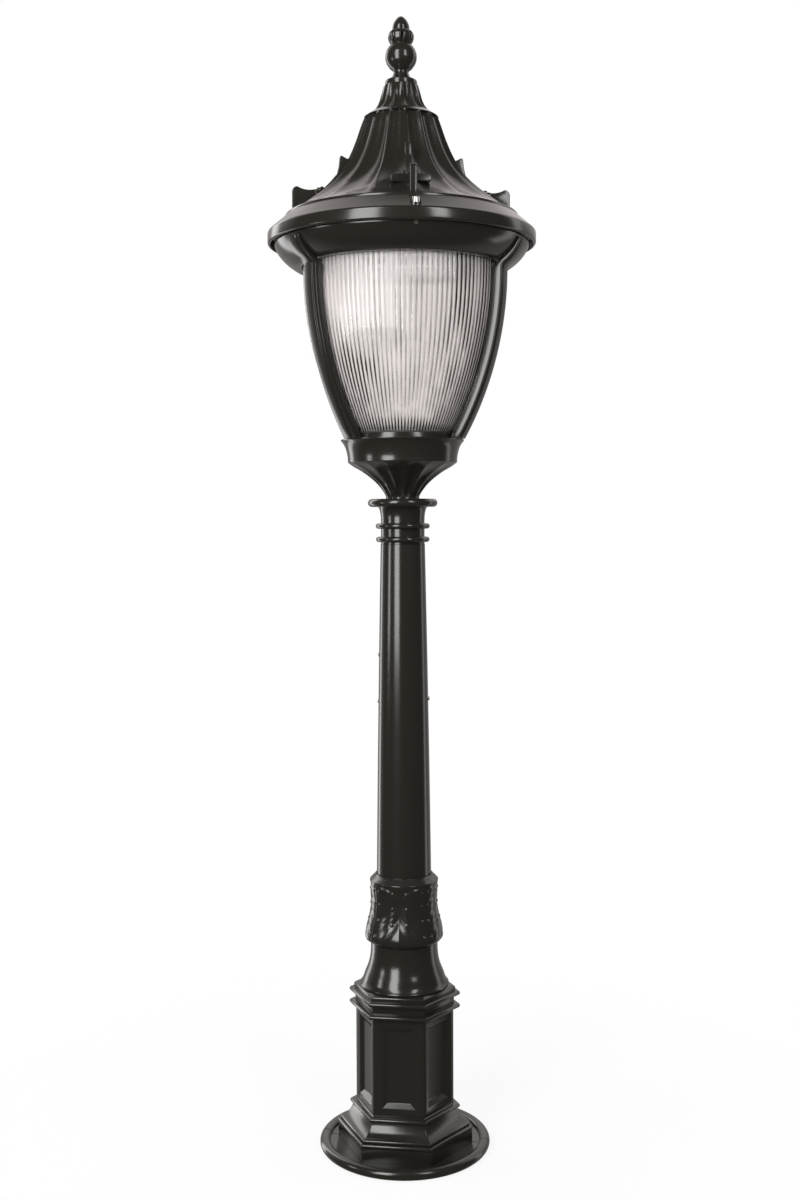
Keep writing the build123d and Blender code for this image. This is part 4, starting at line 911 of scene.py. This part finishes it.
def cut_by(bm, tools):
    """Apply (operation, bmesh) tools to a bmesh by exact Boolean and return the result."""
    host = placed("boolean host", mesh_of(bm, "boolean host"))
    helpers = []
    for operation, tool in tools:
        helpers.append(placed("boolean tool", mesh_of(tool, "boolean tool")))
        step = host.modifiers.new(operation, "BOOLEAN")
        step.operation, step.object, step.solver = operation, helpers[-1], "EXACT"
    bpy.context.view_layer.update()
    result = bmesh.new()
    result.from_mesh(host.evaluated_get(bpy.context.evaluated_depsgraph_get()).to_mesh())
    for spare in [host, *helpers]:
        bpy.data.objects.remove(spare)
    return result


def upright_rod(radius, low, high, x=0.0, y=-SCREW_R):
    """Cylinder, by default about the closing screw's axis, with the roof still facing front."""
    bm = lathe([(0, low), (radius, low), (radius, high), (0, high)], 40, closed=False)
    bmesh.ops.translate(bm, verts=bm.verts, vec=(x * MM, y * MM, 0))
    return bm


def roof():
    bm = lathe(roof_outline(), FLUTES * 18)
    flute(bm, flute_depth)
    seat = upright_rod(8.0, SCREW_SEAT - 8.0, SCREW_SEAT + 2.0)
    bm = cut_by(bm, [("UNION", seat),
                     ("DIFFERENCE", upright_rod(POCKET_R, SCREW_SEAT, SCREW_SEAT + 30.0)),
                     ("DIFFERENCE", upright_rod(SHANK_HOLE_R, BRIM_FOOT, SCREW_SEAT + 1.0))])
    eye, root, top = HINGE_EYE, BRIM_R - 2.3, BRIM_FOOT + 11.1
    under = arc((HINGE_R - eye, HINGE_Z), (HINGE_R, HINGE_Z - eye), (HINGE_R + eye, HINGE_Z), 14)
    knuckle = dense([*under, (HINGE_R + eye, HINGE_Z + 2), (BRIM_R + 4, top), (root, top),
                     (root, BRIM_FOOT + 2.5)])
    eyelet(bm, knuckle, (HINGE_R, HINGE_Z), 3.1, -19.0, 19.0, rearward(0))
    boss_foot = levels("reflector")[1]
    for a in (pi / 6, 5 * pi / 6, 3 * pi / 2):
        join(bm, upright_rod(5.0, boss_foot, TIER_FOOT + 15.0, BOSS_R * cos(a), BOSS_R * sin(a)))
    bmesh.ops.recalc_face_normals(bm, faces=bm.faces)
    return turned(bm, TURN)


piece("roof", roof(), BLACK, "roof", ["roof_shell"], crease=radians(33))

# %% [markdown]
# Four crests stand on the ridges over front, back and sides. Each is a flat cut-out with a cross bar and a
# few small buds. The outline is filled as one face and extruded to a plate; the bar is a second plate
# across it. The long edges are rounded, as a moulded part needs them to leave its mould.

# %% Crests
BAR_R = 103.0


def plate(bm, outline, half, place):
    """Plate of an outline, half thick on either side, with its edges rounded."""
    part = bmesh.new()
    face = part.faces.new([part.verts.new(place(x, y, -half)) for x, y in outline])
    grown = bmesh.ops.extrude_face_region(part, geom=[face])["geom"]
    shift = Vector(place(0, 0, half)) - Vector(place(0, 0, -half))
    bmesh.ops.translate(part, verts=[v for v in grown if isinstance(v, bmesh.types.BMVert)], vec=shift)
    bmesh.ops.recalc_face_normals(part, faces=part.faces)
    rims = [e for e in part.edges if e.calc_face_angle(0) > radians(60)]
    round_edges(part, min(1.1, half * 0.4), rims, 3)
    return join(bm, part)


def crest_outline():
    z = TIER_FOOT
    ridge = [(r - 4.0, zr) for r, zr in TIER_LINE if z + 6 < zr < z + 72]
    top = [*arc((133.4, z + 28.5), (131.5, z + 33.1), (126.9, z + 35.0), 6),
           *arc((126.9, z + 35.0), (111.0, z + 31.0), (97.0, z + 35.5), 8)[1:],
           *lifted(z, [(95.4, 35.0), (94.6, 33.4), (86.5, 41.6), (79.0, 50.5), (76.6, 60.0), (75.5, 70.0),
                       (74.6, 72.0), (72.9, 72.3), (66.5, 69.0)])]
    return [(133.4, z + 0.8), *top, *reversed(ridge)]


def crest(side):
    bm = bmesh.new()
    plate(bm, crest_outline(), 4.0, lambda x, y, level: (level * MM, -x * MM, y * MM))
    z = TIER_FOOT + 19.0
    end, high = 24.0, 9.0
    bar = [*arc((end - 3.5, z), (end, z + high / 2), (end - 3.5, z + high), 8),
           *arc((3.5 - end, z + high), (-end, z + high / 2), (3.5 - end, z), 8)]
    plate(bm, bar, 3.5, lambda x, y, level: (x * MM, -(BAR_R + level) * MM, y * MM))
    for way in (-1, 1):
        for out, rise, size in ((7.5, 11.5, 2.4), (12.5, 10.8, 1.9)):
            bud = [(way * out + size * cos(a * pi / 6), z + rise + size * sin(a * pi / 6)) for a in range(12)]
            plate(bm, bud, 2.2, lambda x, y, level: (x * MM, -(BAR_R - 1.5 + level) * MM, y * MM))
    return turned(bm, side + TURN)


for name, side in (("front", 0), ("right", 90), ("rear", 180), ("left", 270)):
    piece(f"crest_{name}", crest(side), BLACK, "roof", [f"crest_{name}"])

# %% [markdown]
# The finial is a flared foot, a ball, a ring of leaves that curl outwards and a pointed bud. Foot, ball and
# bud are one spun outline. A leaf is a short strip that rises, bends out and rolls over at its tip; it is
# swept like the cage arms, with a section that narrows towards the tip.

# %% Finial
FINIAL = [(18.9, 0.0), (19.3, 0.5), (19.6, 3.0), (19.4, 5.4), (18.6, 6.6), (15.2, 8.2), (12.0, 10.8),
          (10.0, 13.8), (9.3, 16.2), (10.0, 18.4), (13.7, 21.6), (17.3, 26.8), (18.9, 31.4), (19.2, 35.0),
          (18.9, 38.6), (17.2, 43.4), (14.2, 47.9), (11.8, 50.6), (11.2, 52.4), (11.2, 56.0), (10.2, 60.0),
          (9.7, 63.6), (10.3, 66.4), (10.4, 70.0), (9.6, 73.6), (7.4, 77.8), (4.6, 81.2), (2.2, 82.9),
          (0.0, 83.5)]
CURLS = 8
CURL_PATH = [(9.4, 50.0), (11.4, 51.6), (13.2, 54.4), (14.0, 57.6), (13.9, 60.6), (12.8, 63.2), (11.2, 64.8),
             (9.6, 65.2)]
CURL_SIZE = ((3.0, 1.2), (3.7, 1.6), (4.3, 1.8), (4.5, 1.9), (4.4, 1.9), (3.9, 1.7), (3.0, 1.4), (1.8, 0.9))


def curl():
    """One leaf of the finial's crown, along +X: it swells outwards and rolls in again at its tip."""
    bm = bmesh.new()
    loops = []
    turns = [2 * pi * k / 10 for k in range(10)]
    for i, ((r, z), (half, thick)) in enumerate(zip(CURL_PATH, CURL_SIZE)):
        (r0, z0), (r1, z1) = CURL_PATH[max(i - 1, 0)], CURL_PATH[min(i + 1, len(CURL_PATH) - 1)]
        length = hypot(r1 - r0, z1 - z0)
        nr, nz = (z1 - z0) / length, (r0 - r1) / length
        loop = []
        for a in turns:
            furrow = 0.75 if cos(a) > 0 and abs(sin(a)) < 0.4 else 1
            w, d = half * sin(a), thick * cos(a) * furrow
            loop.append(bm.verts.new(((r + nr * d) * MM, w * MM, (ROOF_TOP + z + nz * d) * MM)))
        loops.append(loop)
    sweep(bm, loops)
    bmesh.ops.subdivide_edges(bm, edges=bm.edges, cuts=1, use_grid_fill=True, smooth=0.8)
    return bm


def finial():
    bm = lathe(lifted(ROOF_TOP, soft(FINIAL, 4)) + [(0.0, ROOF_TOP)], 96, closed=False)
    for i in range(CURLS):
        join(bm, turned(curl(), 360 / CURLS * (i + 0.5)))
    return turned(bm, TURN)


piece("finial", finial(), BLACK, "roof", ["finial"], crease=radians(60))

# %% [markdown]
# The closing screw is the one bright spot on the roof. Its socket is a hexagon, made like the base ring's
# inside: a round hole is spun and its points are moved out to the hexagon.

# %% Closing screw and washer
SCREW_TIP, SCREW_TOP = levels("closing_screw")
HEAD_FOOT = SCREW_TOP - 8.0


def at_screw(bm):
    bmesh.ops.translate(bm, verts=bm.verts, vec=(0, -SCREW_R * MM, 0))
    return turned(bm, TURN)


def closing_screw():
    head = [(4.2, HEAD_FOOT), (4.5, HEAD_FOOT + 0.3),
            *lifted(SCREW_TOP, [(4.5, -1.1), (4.2, -0.4), (3.5, 0)])]
    socket = lifted(SCREW_TOP, [(1.8, 0), (1.7, -0.2), (1.7, -4), (0.0, -4.6)])
    shank = [(0.0, SCREW_TIP), (1.9, SCREW_TIP), (2.4, SCREW_TIP + 0.6)]
    turns = int(HEAD_FOOT - SCREW_TIP - 4)
    for i in range(turns):
        shank += [(2.5, SCREW_TIP + 0.9 + i), (2.15, SCREW_TIP + 1.4 + i)]
    shank += [(2.5, SCREW_TIP + turns + 1.2), (2.5, HEAD_FOOT)]
    bm = lathe(shank + head + socket, 48, closed=False)
    for v in bm.verts:
        radius, angle = polar(v)
        if v.co.z > (SCREW_TOP - 4.2) * MM and radius < 1.75 * MM:
            set_radius(v, hexagon_r(2.0, angle) * MM)
    return at_screw(bm)


def screw_washer():
    low, high = levels("screw_washer")
    return at_screw(round_edges(lathe([(2.6, low), (5.2, low), (5.2, high), (2.6, high)], 40), 0.2))


piece("closing_screw", closing_screw(), BRIGHT, "screw", ["closing_screw"])
piece("screw_washer", screw_washer(), BRIGHT, "screw_carrier", ["screw_washer"])

# %% [markdown]
# Inside the globe sits the lamp: a screw holder, a threaded cap and a frosted bulb. The cap's thread shows
# as a row of soft rings, which is all that can be seen of it above the holder.

# %% Lamp
def lamp_holder():
    low, high = levels("lamp_holder")
    foot = lifted(low, [(NIPPLE_HOLE_R, 0), (18.6, 0), (20.4, 0.8), (21.0, 2.6), (21.0, 15), (20.2, 15.8),
                        (20.2, 17.2), (21.0, 18.0)])
    head = lifted(high, [(21.0, -2.2), (20.3, -0.5), (19.0, 0), (14.6, 0), (13.8, -0.8), (13.8, -30),
                         (NIPPLE_HOLE_R, -30)])
    return turned(lathe(foot + head, 96), TURN)


def bulb_cap():
    low, high = levels("bulb_cap")
    rings = []
    for i in range(5):
        rings += lifted(low + 3.6 * i, [(12.5, 6.0), (13.2, 7.0), (13.2, 7.8), (12.5, 8.8)])
    foot = lifted(low, [(0, 0), (4.0, 0), (4.5, 0.6), (4.5, 3), (10.5, 4.0)])
    return lathe([*foot, *rings, (12.8, high - 0.8), (12.8, high), (0, high)], 64, closed=False)


def bulb_glass():
    low, high = levels("bulb_glass")
    mid = high - 30.0
    foot = lifted(low, [(13.2, 0), (13.6, 6.0), (16.2, 18.0), (21.6, 33.0), (26.8, 46.0)])
    neck = soft([*foot, (29.5, mid - 5.0), (30.0, mid)], 4)
    dome = arc((30.0, mid), (21.21, mid + 21.21), (0.0, high), 14)
    inside = [(0.0, high - 1.2)] + [(r - 1.2, z) for r, z in reversed(neck)]
    return lathe(neck + dome[1:] + inside, 96)


piece("lamp_holder", lamp_holder(), WHITE, "lantern", ["lamp_holder"])
piece("lamp_cap", bulb_cap(), CAP_METAL, "lantern", ["bulb_cap"])
piece("lamp_glass", bulb_glass(), FROST, "lantern", ["bulb_glass"])

# %% [markdown]
# What is left keeps its CAD shape: the steel core, seals, pins, nuts and small screws are plain in reality
# too, and most of them are hidden. Each takes the finish of its material.

# %% Finishes of the remaining pieces
KEPT = {
    ZINC: ["base_plate", "inner_tube", "finial_stud", "finial_nut", "nipple", "nipple_nuts"],
    BRIGHT: ["shaft_screws", "grub_screws", "arm_pins", "hinge_pin", "reflector_screws"],
    BRASS: ["closing_insert"],
    GREY: ["lower_sleeve", "upper_sleeve"],
    RUBBER: ["lower_seal", "upper_seal", "roof_seal"],
    WHITE: ["terminal_block"],
    SHEET: ["reflector"],
}
for finish, names in KEPT.items():
    for name in names:
        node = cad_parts[name]
        node.data.materials.clear()
        node.data.materials.append(finish)
print("kept", sum(len(names) for names in KEPT.values()), "CAD pieces")

# %% [markdown]
# The stage is a plain pale floor that fades into a white surround. Camera rays see the surround as white,
# and so do rays through the globe. Mirror-like reflections see a dim studio instead, with a bright
# backdrop behind the lamp. Against it, the softboxes draw the long clean lights that make black gloss
# readable.

# %% Stage and surround
def floor():
    bm = bmesh.new()
    bmesh.ops.create_circle(bm, cap_ends=True, radius=1.6, segments=96)
    bmesh.ops.translate(bm, verts=bm.verts, vec=(0, 0, -0.0005))
    finish = Finish("pale floor")
    place = finish.node("TexCoord", output=3)
    away = finish.node("VectorMath", {"operation": "LENGTH"}, {0: place}, output=1)
    grain = noise(finish, 8.0)
    tone = colour_mix(finish, grain, (0.88, 0.88, 0.87, 1), (0.92, 0.92, 0.91, 1))
    finish.set(Base_Color=tone, Roughness=0.9, Specular_IOR_Level=0.05)
    base = Value(finish, finish.shader.outputs[0])
    white = finish.node("Emission", None, {"Color": (1, 1, 1, 1)})
    lit = finish.node("MixShader", None, {0: 0.88, 1: base, 2: white})
    mirrored = finish.node("LightPath", output="Is Glossy Ray")
    gone = (away.above(0.2, 0.5) + mirrored).above(0.0, 1.0)
    faded = finish.node("MixShader", None, {0: gone, 1: lit, 2: finish.node("BsdfTransparent")})
    finish.put(finish.tree.nodes["Material Output"].inputs["Surface"], faded)
    made = placed("floor", mesh_of(bm, "floor"))
    made.data.materials.append(finish.material)


CAMERA_AT = Vector((0.2464, -1.7255, 0.798))
FRONT = Vector((CAMERA_AT.x, CAMERA_AT.y, 0)).normalized()


def surround():
    bpy.context.scene.world = bpy.data.worlds.new("studio")
    studio = Finish("studio", bpy.context.scene.world)
    look = studio.node("TexCoord")
    ahead = studio.node("VectorMath", {"operation": "DOT_PRODUCT"}, {0: look, 1: tuple(FRONT)}, output=1)
    up = studio.node("SeparateXYZ", None, {0: look}, output=2)
    behind = (1.0 - ahead.above(-0.45, 0.3)) * (1.0 - up.above(0.9, 0.08))
    backdrop = colour_mix(studio, up.above(0.12, 0.3), (0.4, 0.372, 0.367, 1), (1.15, 1.06, 1.05, 1))
    mirrored = colour_mix(studio, behind, (0.066, 0.064, 0.058, 1), backdrop)
    glossy, camera, through = (studio.node("LightPath", output=f"Is {kind} Ray")
                               for kind in ("Glossy", "Camera", "Transmission"))
    room = colour_mix(studio, glossy, (0.45, 0.445, 0.43, 1), mirrored)
    studio.set(Color=colour_mix(studio, (camera + through).above(0.5, 0.1), room, (1, 1, 1, 1)))


floor()
surround()
print("stage ready")

# %% [markdown]
# Two tall softboxes stand left and right of the camera and three narrow strips stand further round. Each
# upright line of light on the column and the bell comes from one of them. Angles count from the camera, seen
# from the lamp, and the power follows from the glow, so a wider light isn't a brighter one.

# %% Softboxes
def softbox(name, angle, distance, low, high, width, glow):
    """Upright light with this glow, at an angle from the camera and between two heights."""
    data = bpy.data.lights.new(name, "AREA")
    data.shape, data.size, data.size_y = "RECTANGLE", width, high - low
    data.energy = glow * pi * width * (high - low)
    made = placed(name, data)
    way = Matrix.Rotation(radians(angle), 3, "Z") @ FRONT
    made.location = way * distance + Vector((0, 0, (low + high) / 2))
    made.rotation_euler = (-way).to_track_quat("-Z", "Y").to_euler()
    made.visible_camera = False


softbox("softbox left", -30, 2.0, 0.5, 3.0, 0.8, 8.5)
softbox("softbox right", 31, 2.0, 1.2, 2.9, 0.45, 7.5)
softbox("strip left", -72, 2.0, 0.5, 0.95, 0.36, 6.5)
softbox("strip behind left", -132, 2.2, -0.6, 2.6, 0.6, 3.0)
softbox("strip behind right", 110, 2.2, -0.6, 2.6, 0.45, 1.2)

# %% [markdown]
# The camera stands as the photograph's does: slightly right of the front, a little above the middle of the
# post and looking almost level.

# %% Camera
lens = bpy.data.cameras.new("camera")
lens.lens, lens.sensor_width, lens.sensor_fit = 42.18, 36.0, "AUTO"
camera = placed("camera", lens)
aim = Matrix.Rotation(radians(8.25), 4, "Z") @ Matrix.Rotation(radians(86.51), 4, "X")
camera.matrix_world = Matrix.Translation(CAMERA_AT) @ aim @ Matrix.Rotation(-0.0038, 4, "Z")
scene = bpy.context.scene
scene.camera = camera
scene.view_settings.view_transform = "Standard"
